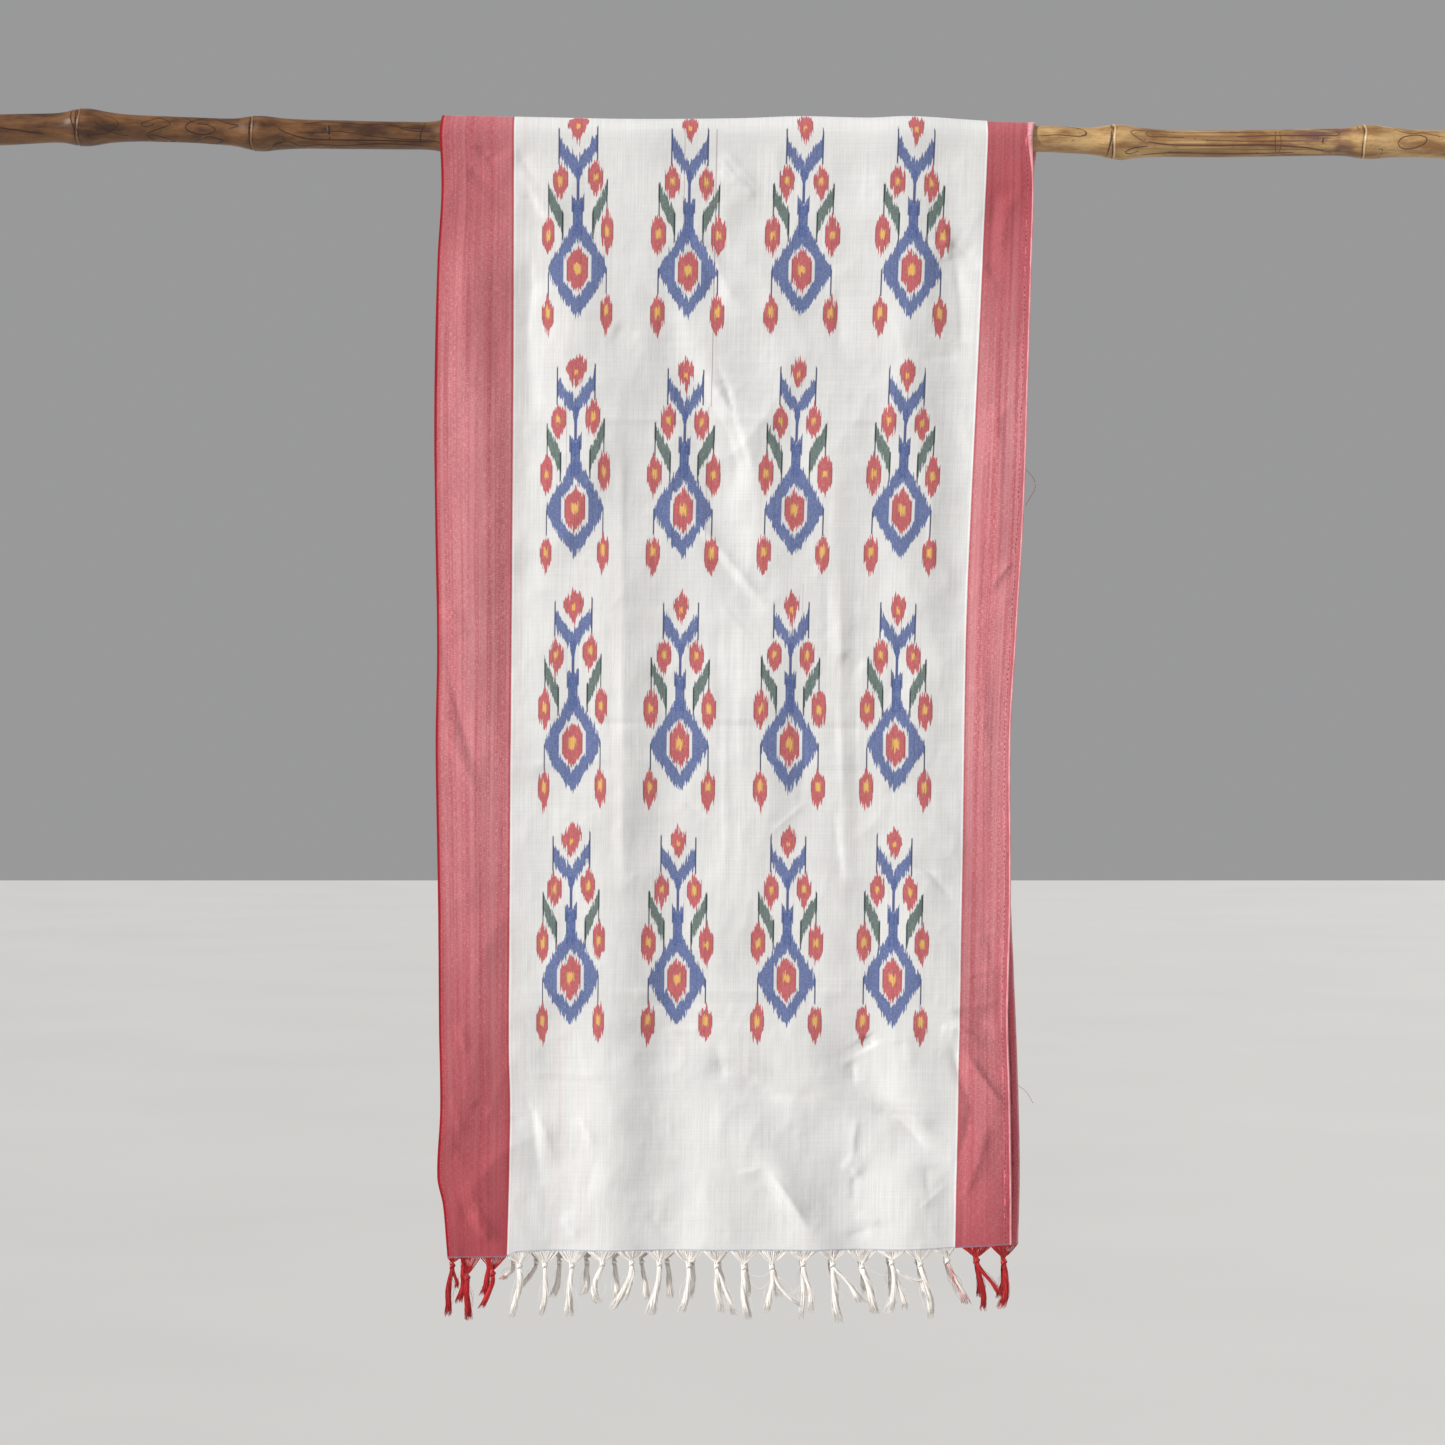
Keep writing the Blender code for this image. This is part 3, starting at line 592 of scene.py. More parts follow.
# Single long fibres that bridge between front tassels.
BRIDGES = (
    # start_x, start_z, end_x, end_z, sag
    (-32, -1012, -88, -1028, -3),
    (22, -1023, 44, -1022, 5),
    (24, -1030, 40, -1034, 6),
    (48, -1040, 72, -1036, 6),
    (128, -1018, 150, -1026, 3),
    (56, -1044, 74, -1030, 3),
)
# Fringe of the back: each knot, and how far its tip lies to the side and up.
BACK_TASSELS = (
    # knot_x, sideways, upwards
    (-235, -4, 3),
    (-212, -6, 9),
    (-190, -9, 22),
    (-169, -16, 14),
    (-148, -6, 6),
    (-123, -3, 8),
    (-98, 2, 4),
    (-73, 4, 3),
    (-50, 2, 5),
    (-27, -3, 4),
    (-3, 3, 6),
    (21, 1, 4),
    (45, 6, 5),
    (72, 2, 6),
    (98, 5, 4),
    (125, 5, 7),
    (151, 3, 5),
    (177, 7, 4),
    (203, 12, 8),
    (230, 4, 5),
    (255, -3, 4),
)
MIXED_BACK_TASSEL = -190.0
MIXED_BACK_DYE = 0.3
BACK_KNOT_DROP = 11.5
BACK_TIP_DROP = 52.0
BACK_SPREAD = 3.6
BACK_YARNS = 34
# Warps, webs, yarns, locks and knots of both ends.
WARP_PITCH = 0.56
WARP_RADIUS = 0.34
WEB_BUNDLES = 12
YARN_RADIUS = 0.27
YARN_SIDES = 3
YARN_STEPS = 9
YARNS_PER_COUNT = 1.9
CORE_SHARE = 0.72
CORE_SIDES = 12
LOCK_RADIUS = 2.6
FULL_LOCK = 44
KNOT_SIZE = (2.1, 2.0, 2.3)
KNOT_LOOPS = 4
KNOT_RINGS = 9
KNOT_SIDES = 14
# How far a knot's middle and the start of its locks are below its place.
KNOT_DROP = 2.6
LOCK_START = 4.4

# Burnt lines on the bamboo's front, read off one by one. Their copies on the back are shifted along
# it.
BURNT_LINES = (
    # points, width
    (((-653.2, 6.7), (-639.7, 4.9), (-626.1, 3.1), (-611.6, 1.3)), 1.2),
    (((-565.5, 11.2), (-559.2, 7.6), (-552, 4), (-542.9, 1.3), (-535.7, 0.4)), 0.8),
    (((-557.4, 16.6), (-549.2, 14.8), (-543.8, 10.3), (-546.5, 6.7), (-553.8, 3.1), (-562.8, 2.2),
      (-571.8, 2.2)), 0.7),
    (((-515.8, 16.6), (-508.6, 16.2), (-501.3, 13.9), (-497.7, 10.3), (-504, 7.1), (-513.1, 4),
      (-518.5, 1.3), (-514.9, -2.4), (-508.6, -5.1), (-501.3, -5.1)), 0.9),
    (((-506.7, 16.6), (-515.8, 13.9), (-523.9, 10.3), (-520.3, 7.6), (-512.2, 9.8)), 0.8),
    (((-515.8, 1.3), (-506.7, -0.6), (-494.1, -4.2), (-499.5, -6.4)), 0.9),
    (((-465.2, 16.6), (-475.1, 13.9), (-482.3, 10.3), (-483.7, 6.7), (-479.6, 3.1), (-467.9, 0.8),
      (-458.8, 2.6), (-457, 5.8), (-464.3, 9.4), (-473.3, 10.7)), 1.1),
    (((-480.5, -6), (-472.4, -3.3), (-463.4, -1), (-455.2, -2.4), (-450.7, -4.2), (-457.9, -6.4),
      (-469.7, -6)), 1.1),
    (((-457.9, 16.2), (-457, 14.8), (-447.1, 11.2), (-436.2, 8), (-444.4, 5.8)), 1),
    (((-450.7, 16.2), (-443.5, 15.3), (-435.3, 13.9), (-438, 13)), 0.7),
    (((-486.9, 16.6), (-479.6, 13.9), (-476, 11.2)), 0.6),
    (((-400.1, 5.8), (-395.5, 3.1), (-386.5, -0.1), (-372.9, -3.3), (-345.8, -4.2), (-309.7, -4.6),
      (-273.5, -5.5), (-255.4, -5.1)), 1.1),
    (((-377.5, 10.3), (-359.4, 12.1), (-341.3, 11.2), (-323.2, 9.4), (-309.7, 9.8), (-291.6, 7.6),
      (-278, 6.2), (-267.2, 6.7)), 0.8),
    (((-382, 2.6), (-363.9, 2.2), (-345.8, 3.1), (-318.7, -0.6), (-291.6, -3.3), (-259, -4.2)), 0.6),
    (((-399.2, -10), (-404.6, -6.4), (-391, -5.1), (-380.2, -8.7), (-363.9, -7.8), (-341.3, -8.7),
      (-309.7, -7.3), (-269.9, -8.7)), 1),
    (((-410.9, -10.5), (-403.7, -6.9), (-394.6, -4.6), (-396.4, -0.6)), 0.9),
    (((-354.9, 8.5), (-354.4, 0.4)), 2.2),
    (((-354, -1.5), (-354, -4.2)), 0.8),
    (((-267.2, 13), (-269, 8.5), (-271.7, 1.3), (-272.6, -6.9)), 1.1),
    (((-291.6, 6.7), (-278, 3.5), (-262.6, 3.1)), 0.9),
    (((-296.1, 14.4), (-278, 13.9), (-266.3, 12.6)), 0.7),
    (((287.1, -0.6), (300.6, 0.4), (314.2, -0.6), (324.1, -0.7), (328.2, 1.3), (325.9, 4.4),
      (318.7, 7.1), (306.9, 8.9)), 0.9),
    (((323.2, -0.6), (327.7, 0.8), (326.8, 3.5)), 1.6),
    (((391, 3.5), (380.2, 3.5), (371.1, 3.1), (367.5, 1.3), (371.1, -1.5), (377.5, -5.1),
      (382.9, -7.3)), 0.7),
    (((386.5, 3.5), (382.4, 2.6), (381.5, 0.8), (384.7, -1.5), (397.4, -1.5), (415.4, -1.9)), 0.9),
    (((382.9, -9.6), (370.2, -10.5), (363, -12.8), (367.5, -14.1), (374.7, -12.8)), 1),
    (((386.5, 4), (413.6, 2.6), (449.8, 3.1), (487.8, 3.5)), 0.7),
    (((382.9, -6), (404.6, -8.7), (449.8, -9.1), (487.8, -8.7), (522.1, -10.5), (542, -13.2)), 1.4),
    (((377.5, -15.5), (413.6, -15), (458.8, -15.9), (514.9, -14.6)), 1),
    (((463.4, -1), (495, -0.1), (531.2, -0.1), (552.9, -0.1), (556.5, 1.7), (552.9, 3.1)), 1.3),
    (((431.7, -4.2), (467.9, -5.5), (522.1, -5.1)), 0.6),
    (((498.6, 4), (497.7, -6), (498.6, -15)), 0.7),
    (((502.2, 4), (503.1, -6), (502.2, -15)), 0.6),
    (((541.1, -2.4), (540.2, -6.9)), 1.8),
    (((608, -6.9), (611.6, -2.8), (618.9, -0.6), (627.9, -0.1), (634.2, -2.8), (632.4, -7.3),
      (624.3, -11), (615.2, -11.9), (609.8, -10), (608, -6.9)), 1.2),
    (((606.2, 5.3), (610.7, 3.1), (621.6, 1.3), (631.5, 2.6), (637.8, 0.8), (653.2, -2.4)), 0.8),
    (((590.8, -11.4), (594.4, -11.4), (593.5, -15), (590.8, -16.8)), 0.8),
    (((-586.3, 23), (-586.8, 15.7), (-584.5, 8.5), (-581.3, 1.3)), 1.1),
    (((-583.1, 23.9), (-582.7, 17.5), (-582.2, 10.3), (-580, 3.1), (-578.2, -5.1)), 0.7),
    (((-424.9, 13.9), (-426.3, 4.9), (-425.4, -6), (-423.6, -11.4)), 0.9),
    (((350.3, 2.2), (349.4, -6), (347.6, -13.2), (346.3, -17.7)), 1.7),
    (((350.8, 9.4), (350.3, 4)), 0.9),
    (((573.7, 9.4), (572.7, 5.8), (574.6, 3.1)), 0.8),
)
BURNT_SHIFT = 47.0
BURNT_WIDEN = 1.45
BURNT_STEP = 1.6
# Section of a burnt line: share of its half width, and millimetres out from the surface.
BURNT_SECTION = ((-1.0, -0.3), (-0.62, 0.1), (0.62, 0.1), (1.0, -0.3))

# Loose threads that hang off the right edge of the front drop: points and thickness.
LOOSE_THREADS = (
    # points, radius
    (((266.4, -13, -294), (271.4, -14.5, -299.9), (279.6, -15.5, -309), (281.2, -15.5, -318),
      (276.5, -15, -327), (272.6, -14.6, -334)), 0.22),
    (((259.5, -14, -851), (266.9, -15, -856.2), (273, -16, -861), (279.4, -15.5, -871.5)), 0.18),
)

# Length of each sheet when it lies flat, in metres.
FLAT_LENGTHS = {"front_low": 0.503, "front_high": 0.503, "over": 0.054, "back": 1.006}
# Metres from one bump of the weave to the next, across and along the cloth.
WEAVE = (0.0011, 0.0012)
# The stage: half the floor's size and its level, and the camera's lens and place in metres.
FLOOR_SIZE = 14000.0
FLOOR_LEVEL = -1320.0
LENS = 84.98
CAMERA_PLACE = (0.0, -3.084, -0.529)

random = np.random.default_rng(7)


def curve(table, column, places):
    """A column's values at places along the first column, on a smooth curve through the rows."""
    rows = np.array(table, float)
    x, y = rows[:, 0], rows[:, column]
    slope = np.empty(len(x))
    slope[1:-1] = (y[2:] - y[:-2]) / (x[2:] - x[:-2])
    slope[0] = (y[1] - y[0]) / (x[1] - x[0])
    slope[-1] = (y[-1] - y[-2]) / (x[-1] - x[-2])
    at = np.clip(places, x[0], x[-1])
    i = np.clip(np.searchsorted(x, at, side="right") - 1, 0, len(x) - 2)
    step = x[i + 1] - x[i]
    t = (at - x[i]) / step
    start = y[i] * (1 + 2 * t) * (1 - t) ** 2 + slope[i] * step * t * (1 - t) ** 2
    end = y[i + 1] * t * t * (3 - 2 * t) + slope[i + 1] * step * t * t * (t - 1)
    return start + end


def straight(table, places):
    """Second column's values on straight runs between the rows of a two-column table."""
    rows = np.array(table, float)
    return np.interp(places, rows[:, 0], rows[:, 1])


def unit(vectors):
    length = np.linalg.norm(vectors, axis=-1, keepdims=True)
    return vectors / np.maximum(length, 1e-9)


def hump(place, middle, half):
    """A soft hump of height one round a middle."""
    return np.exp(-(((place - middle) / half) ** 2))


def rod_height(x):
    return curve(ROD_RUN, 1, x)


def cloth_stand_off(x):
    """Distance of the cloth's middle from the rod's axis, at the rod's front and back."""
    plain = curve(ROD_RUN, 2, x)
    tent = 0.0
    for place, ridge in ROD_NODES:
        swell = ridge - curve(ROD_RUN, 2, place)
        tent = tent + swell * hump(x, place, TENT_REACH)
    return plain + tent + HUG_CLEARANCE + WALL / 2


def fold_depth(folds, x, z):
    """Broad soft folds along straight runs."""
    total = np.zeros_like(x)
    for upper_x, upper_z, lower_x, lower_z, half_width, depth in folds:
        run_x, run_z = lower_x - upper_x, lower_z - upper_z
        length = math.hypot(run_x, run_z)
        share = ((x - upper_x) * run_x + (z - upper_z) * run_z) / length**2
        aside = ((x - upper_x) * run_z - (z - upper_z) * run_x) / length
        beyond = np.maximum(np.maximum(-share, share - 1), 0.0) * length
        total += depth * np.exp(-((aside / half_width) ** 2) - (beyond / (2 * half_width)) ** 2)
    return total


def crease_depth(creases, x, z):
    """Creases along bent runs: steep on one side, easing away on the other, fading at the ends."""
    total = np.zeros_like(x)
    for number, (points, half_width, depth) in enumerate(creases):
        nearest = np.full(x.shape, 1e9)
        place = np.zeros_like(x)
        side = np.zeros_like(x)
        lengths = [math.dist(a, b) for a, b in zip(points, points[1:])]
        walked = 0.0
        for (ax, az), (bx, bz), length in zip(points, points[1:], lengths):
            share = ((x - ax) * (bx - ax) + (z - az) * (bz - az)) / length**2
            share = np.clip(share, 0.0, 1.0)
            away = np.hypot(x - ax - (bx - ax) * share, z - az - (bz - az) * share)
            closer = away < nearest
            nearest = np.where(closer, away, nearest)
            place = np.where(closer, walked + share * length, place)
            beside = (x - ax) * (bz - az) - (z - az) * (bx - ax)
            side = np.where(closer, beside, side)
            walked += length
        eased = side > 0 if number % 2 else side < 0
        easy = np.where(eased, EASY_SIDE, 1.0)
        fade = np.clip(np.minimum(place, walked - place) / (CREASE_FADE * walked), 0.0, 1.0)
        fade = fade * fade * (3 - 2 * fade)
        uneven = 0.75 + 0.25 * np.sin(place / UNEVEN_STRETCH + number * 1.7)
        reach = CREASE_NARROWING * half_width * easy
        shape = np.exp(-((nearest / reach) ** CREASE_SHARPNESS))
        total += CREASE_STRENGTH * depth * shape * fade * uneven
    return total


def crumple(x, z, size, seed):
    """Soft random relief between -1 and 1, from smoothed heights on a lattice of this size."""
    heights = np.random.default_rng(seed).uniform(-1.0, 1.0, (64, 192))
    u, v = x / size + 30.0, z / size + 150.0
    i, j = np.floor(u).astype(int), np.floor(v).astype(int)
    s, t = u - i, v - j
    s, t = s * s * (3 - 2 * s), t * t * (3 - 2 * t)
    i, j = i % 63, j % 191
    low = heights[i, j] * (1 - s) + heights[i + 1, j] * s
    high = heights[i, j + 1] * (1 - s) + heights[i + 1, j + 1] * s
    return low * (1 - t) + high * t


def wave_depth(waves, x, z):
    """Waves across the cloth that grow towards its hem."""
    total = np.zeros_like(x)
    for length, depth, phase in waves:
        total += depth * np.minimum(1.0, -z / 1000.0) * np.sin(2 * math.pi * x / length + phase)
    return total


def hem_pile(from_edge, x, z):
    """How far the turned hem lifts the cloth: its pile, its rim, and the dip at its stitches."""
    pile = HEM_PILE / (1 + np.exp(np.clip((from_edge - STITCH_LINE) / 0.35, -40.0, 40.0)))
    pile = pile + 0.3 * hump(from_edge, 0.9, 0.9)
    pile = pile - 0.25 * hump(from_edge, STITCH_LINE, 0.6)
    return pile * (0.85 + 0.45 * crumple(2.0 * x, z, 6.0, 5))


def crumpled(fine, x, z, shift):
    """The creases' depth with the small crumples, soft and ridged, laid over it."""
    for size, height, seed in CRUMPLES:
        fine = fine + height * crumple(x + 0.35 * z, z - 0.2 * x, size, seed + shift)
    for size, height, seed in RIDGED_CRUMPLES:
        bent = crumple(x + 0.5 * z, z - 0.3 * x, 1.7 * size, seed + 5)
        relief = crumple(x - 0.25 * z + 0.5 * size * bent, z + 0.3 * x, size, seed + shift)
        fine = fine - height * np.sqrt(relief * relief + 0.002)
    return fine


def drop_grid(side, across, up):
    """Middle of the cloth on a drop, row by row up from the hem, as an array of points."""
    level = side["edges"][0][0] * (1 - up)[:, None]
    left = curve(side["edges"], 1, level)
    right = curve(side["edges"], 2, level)
    x = left + (right - left) * across[None, :]
    low, high = curve(side["hem"], 1, x), rod_height(x) - SEAM / 2
    z = low + (high - low) * up[:, None]
    down = np.maximum(high - z, 0.0)
    plain = HANG_DEPTH + (cloth_stand_off(x) - HANG_DEPTH) * np.exp(-down / HANG_EASE)
    middle, reach, depth = side["bow"]
    soft = fold_depth(side["folds"], x, z) + wave_depth(side["waves"], x, z)
    soft += depth * hump(z, middle, reach)
    out = plain + soft * (1 - hump(down, 0.0, FOLD_EASE))
    fine = crumpled(crease_depth(side["creases"], x, z), x, z, 10 * side["facing"] + 20)
    pile = hem_pile((1 - across[None, :]) * (right - left), x, z)
    out = out + fine * (1 - hump(down, 0.0, CREASE_EASE)) + pile
    return np.stack([x, side["facing"] * out, z], axis=-1)


def over_grid(across, round_it):
    """Middle of the cloth over the rod, row by row from the front to the back."""
    share = round_it[:, None]
    left = FRONT_EDGES[-1][1] + (BACK_EDGES[-1][1] - FRONT_EDGES[-1][1]) * share
    right = FRONT_EDGES[-1][2] + (BACK_EDGES[-1][2] - FRONT_EDGES[-1][2]) * share
    x = left + (right - left) * across[None, :]
    wide = cloth_stand_off(x)
    high = curve(CLOTH_TOP, 1, x) - rod_height(x) - WALL / 2
    start = SEAM / 2 / high
    angle = start + (math.pi - 2 * start) * share
    return np.stack([x, -wide * np.cos(angle), rod_height(x) + high * np.sin(angle)], axis=-1)


FRONT = {
    "facing": -1,
    "edges": FRONT_EDGES,
    "hem": FRONT_HEM,
    "folds": FRONT_FOLDS,
    "creases": FRONT_CREASES,
    "waves": FRONT_WAVES,
    "bow": FRONT_BOW,
}
BACK = {
    "facing": 1,
    "edges": BACK_EDGES,
    "hem": BACK_HEM,
    "folds": BACK_FOLDS,
    "creases": BACK_CREASES,
    "waves": BACK_WAVES,
    "bow": BACK_BOW,
}

# Rows and columns of the fine cloth. Counts of steps are even, for the coarser inner side.
# Over the last stretch at the right edge the columns lie closer, for the turned hem.
EVEN_COLUMNS = 250
EDGE_STRETCH = 9.0
EDGE_STEPS = (7.5, 6.2, 5.6, 5.0, 4.2, 3.0, 2.0, 1.2, 0.5, 0.0)
FRONT_ROWS = 440
OVER_ROWS = 28
BACK_ROWS = 240
SHELL = 0.5


def cloth_columns():
    """Shares of the way across, from the left edge to the right."""
    width = FRONT_EDGES[-1][2] - FRONT_EDGES[-1][1]
    even = np.linspace(0.0, 1 - EDGE_STRETCH / width, EVEN_COLUMNS + 1)
    return np.concatenate([even, 1 - np.array(EDGE_STEPS) / width])


class Cloth:
    """The whole cloth as one grid of points from the front hem to the back hem."""

    def __init__(self):
        across = cloth_columns()
        front = drop_grid(FRONT, across, np.linspace(0.0, 1.0, FRONT_ROWS + 1))
        over = over_grid(across, np.linspace(0.0, 1.0, OVER_ROWS + 1))
        back = drop_grid(BACK, across, np.linspace(1.0, 0.0, BACK_ROWS + 1))
        over[0], over[-1] = front[-1], back[0]
        self.across = across
        self.points = np.concatenate([front, over[1:], back[1:]])
        sideways = np.gradient(self.points, axis=1)
        lengthways = np.gradient(self.points, axis=0)
        self.outward = unit(np.cross(sideways, lengthways))
        self.spans = {
            "front": (0, FRONT_ROWS),
            "front_low": (0, FRONT_ROWS // 2),
            "front_high": (FRONT_ROWS // 2, FRONT_ROWS),
            "over": (FRONT_ROWS, FRONT_ROWS + OVER_ROWS),
            "back": (FRONT_ROWS + OVER_ROWS, FRONT_ROWS + OVER_ROWS + BACK_ROWS),
        }
        self.flat = self.lay_flat()

    def lay_flat(self):
        """Each point's place on the flat cloth, across and from the hem, and its share across."""
        steps = np.linalg.norm(np.diff(self.points, axis=0), axis=-1)
        along = np.zeros(self.points.shape[:2])
        seam, far = self.spans["over"]
        along[: seam + 1] = self.points[: seam + 1, :, 2] - HEM_LEVEL
        for row in range(seam, far):
            along[row + 1] = along[row] + steps[row]
        drop = self.points[far, :, 2] - self.points[far:, :, 2]
        along[far:] = along[far] + drop
        x, z = self.points[..., 0], self.points[..., 2]
        low = curve(FRONT_HEM, 1, x[: seam + 1])
        rise = z[: seam + 1] - low
        along[: seam + 1] += (HEM_LEVEL - low) * hump(rise, 0.0, HEM_BLEND)
        rise = z[far:] - curve(BACK_HEM, 1, x[far:])
        along[far:] += (FAR_HEM - along[far:] - rise) * hump(rise, 0.0, HEM_BLEND)
        share = np.clip((np.arange(len(x)) - seam) / (far - seam), 0.0, 1.0)[:, None]
        height = np.minimum(z.mean(axis=1), 0.0)[:, None]

        def boundary(column):
            near = curve(FRONT_BOUNDARIES, column, height)
            return near * (1 - share) + curve(BACK_BOUNDARIES, column, height) * share

        left, right = boundary(1), boundary(2)
        start, end = x[:, :1], x[:, -1:]
        border = (x - start) / (left - start) * LEFT_BORDER
        field = LEFT_BORDER + (x - left) / (right - left) * FIELD
        last = LEFT_BORDER + FIELD
        other = last + (x - right) / (end - right) * (CLOTH_WIDTH - last)
        places = np.where(x < left, border, np.where(x < right, field, other))
        return np.stack([places, along, np.broadcast_to(self.across, x.shape)], axis=-1)


def add_mesh(name, vertices, faces, material, smooth=True):
    """Writes vertices in millimetres and faces as one object."""
    mesh = bpy.data.meshes.new(name)
    mesh.from_pydata((np.asarray(vertices) * MM).tolist(), [], [list(map(int, f)) for f in faces])
    mesh.materials.append(material)
    if smooth:
        mesh.shade_smooth()
    item = bpy.data.objects.new(name, mesh)
    bpy.context.scene.collection.objects.link(item)
    return item


def set_values(item, name, values, domain="POINT"):
    """Three numbers for each point or corner, for a material to read."""
    attribute = item.data.attributes.new(name, "FLOAT_VECTOR", domain)
    attribute.data.foreach_set("vector", np.ascontiguousarray(values, np.float32).ravel())


def motif_places(flat, face_of_corner, face_middles):
    """Each corner's place within the motif of its face, with the motif's number."""
    columns = np.array([row[0] for row in MOTIF_COLUMNS])
    bounds = (columns[1:] + columns[:-1]) / 2
    column = np.searchsorted(bounds, face_middles[:, 0])
    starts = np.array(MOTIF_ROWS) - MOTIF_REACH_DOWN
    row = np.clip(np.searchsorted(starts, face_middles[:, 1]) - 1, 0, len(MOTIF_ROWS) - 1)
    column, row = column[face_of_corner], row[face_of_corner]
    across = flat[:, 0] - columns[column]
    up = flat[:, 1] - np.array(MOTIF_ROWS)[row]
    wide = np.array([r[1] for r in MOTIF_COLUMNS])[column]
    lift = np.array([r[2] for r in MOTIF_COLUMNS])[column]
    spread = np.sign(across) * straight(WIDE_MIDDLE, np.abs(across))
    charted = np.where(wide > 0, spread, across)
    up = up - lift * (0.5 + 0.5 * np.tanh(across / LIFT_EASE)) * np.clip(0.6 + up / 200.0, 0.3, 1.0)
    return np.stack([charted * MM, up * MM, row * 4 + column + 1.0], axis=-1)


def grid_faces(rows, columns, start, turned=False):
    """Squares of a grid of points whose first one has this number."""
    r, c = np.meshgrid(np.arange(rows - 1), np.arange(columns - 1), indexing="ij")
    a = start + r * columns + c
    ring = [a, a + 1, a + 1 + columns, a + columns]
    if turned:
        ring.reverse()
    return np.stack([x.ravel() for x in ring], axis=1).tolist()


def rim_faces(rows, columns, start, inner_columns):
    """Faces from the outer side's rim to the inner side's, which has every second point."""
    rim = [(0, c) for c in range(columns)]
    rim += [(r, columns - 1) for r in range(1, rows)]
    rim += [(rows - 1, c) for c in range(columns - 2, -1, -1)]
    rim += [(r, 0) for r in range(rows - 2, 0, -1)]
    faces = []
    for a, b, c in zip(rim[::2], rim[1::2], rim[2::2] + rim[:1]):
        on = [r * columns + col for r, col in (c, b, a)]
        under = [start + (r // 2) * inner_columns + col // 2 for r, col in (a, c)]
        faces.append(on + under)
    return faces


def add_cloth(cloth, part, material):
    """A thin closed shell over one stretch: a fine outer side and a coarser inner side."""
    first, last = cloth.spans[part]
    points = cloth.points[first : last + 1]
    away = cloth.outward[first : last + 1]
    flat = cloth.flat[first : last + 1]
    rows, columns = points.shape[:2]
    outer = points + away * SHELL / 2
    inner = (points - away * SHELL / 2)[::2, ::2]
    inner_rows, inner_columns = inner.shape[:2]
    vertices = np.concatenate([outer.reshape(-1, 3), inner.reshape(-1, 3)])
    flats = np.concatenate([flat.reshape(-1, 3), flat[::2, ::2].reshape(-1, 3)])
    normals = np.concatenate([away.reshape(-1, 3), -away[::2, ::2].reshape(-1, 3)])
    start = rows * columns
    faces = grid_faces(rows, columns, 0)
    faces += grid_faces(inner_rows, inner_columns, start, turned=True)
    layer_faces = len(faces)
    faces += rim_faces(rows, columns, start, inner_columns)
    item = add_mesh("cloth_" + part, vertices, faces, material)
    corners = np.array([corner for face in faces for corner in face], np.int64)
    sizes = np.array([len(face) for face in faces])
    face_of_corner = np.repeat(np.arange(len(faces)), sizes)
    middles = np.zeros((len(faces), 3))
    np.add.at(middles, face_of_corner, flats[corners])
    middles /= sizes[:, None]
    set_values(item, "flat", flats * MM)
    motifs = motif_places(flats[corners], face_of_corner, middles)
    set_values(item, "motif", motifs, "CORNER")
    shading = normals[corners]
    on_rim = face_of_corner >= layer_faces
    face_normals = np.zeros(len(faces) * 3, np.float32)
    item.data.polygons.foreach_get("normal", face_normals)
    shading[on_rim] = face_normals.reshape(-1, 3)[face_of_corner[on_rim]]
    item.data.normals_split_custom_set(shading.tolist())
    lay_out_for_bake(item, flats[corners], face_of_corner, layer_faces, rows, columns)
    return item


def lay_out_for_bake(item, flat, face_of_corner, layer_faces, rows, columns):
    """Outer side on the left half of the square and inner side on the right half."""
    outer_faces = (rows - 1) * (columns - 1)
    low, high = flat[:, 1].min(), flat[:, 1].max()
    u = flat[:, 2]
    v = (flat[:, 1] - low) / (high - low)
    inner = (face_of_corner >= outer_faces) & (face_of_corner < layer_faces)
    place_u = np.where(inner, 0.665 + 0.33 * u, 0.005 + 0.65 * u)
    layer = item.data.uv_layers.new(name="OFBake")
    values = np.stack([place_u, 0.004 + 0.992 * v], axis=1)
    layer.data.foreach_set("uv", values.astype(np.float32).ravel())


def ring_faces(rows, sides, turned=False):
    """Faces of rows of points that each go once round, with a face on each end."""
    row, side = np.meshgrid(np.arange(rows - 1), np.arange(sides), indexing="ij")
    near, far, after = row * sides, (row + 1) * sides, (side + 1) % sides
    quads = np.stack([near + side, near + after, far + after, far + side], axis=-1)
    faces = quads.reshape(-1, 4).tolist()
    faces.append(list(range(sides))[::-1])
    faces.append(list(range((rows - 1) * sides, rows * sides)))
    return [face[::-1] for face in faces] if turned else faces


def tubes(paths, radii, sides):
    """Thin tubes along paths that all have the same number of points."""
    count, steps = paths.shape[:2]
    along = unit(np.gradient(paths, axis=1))
    aside = unit(np.cross(along, (0.02, 1.0, 0.03)))
    deep = np.cross(aside, along)
    angles = 2 * math.pi * np.arange(sides) / sides
    ring = aside[:, :, None] * np.cos(angles)[:, None] + deep[:, :, None] * np.sin(angles)[:, None]
    vertices = paths[:, :, None] + np.broadcast_to(radii, (count, steps))[:, :, None, None] * ring
    one = ring_faces(steps, sides)
    starts = range(0, count * steps * sides, steps * sides)
    faces = [[start + corner for corner in face] for start in starts for face in one]
    return vertices.reshape(-1, 3), faces


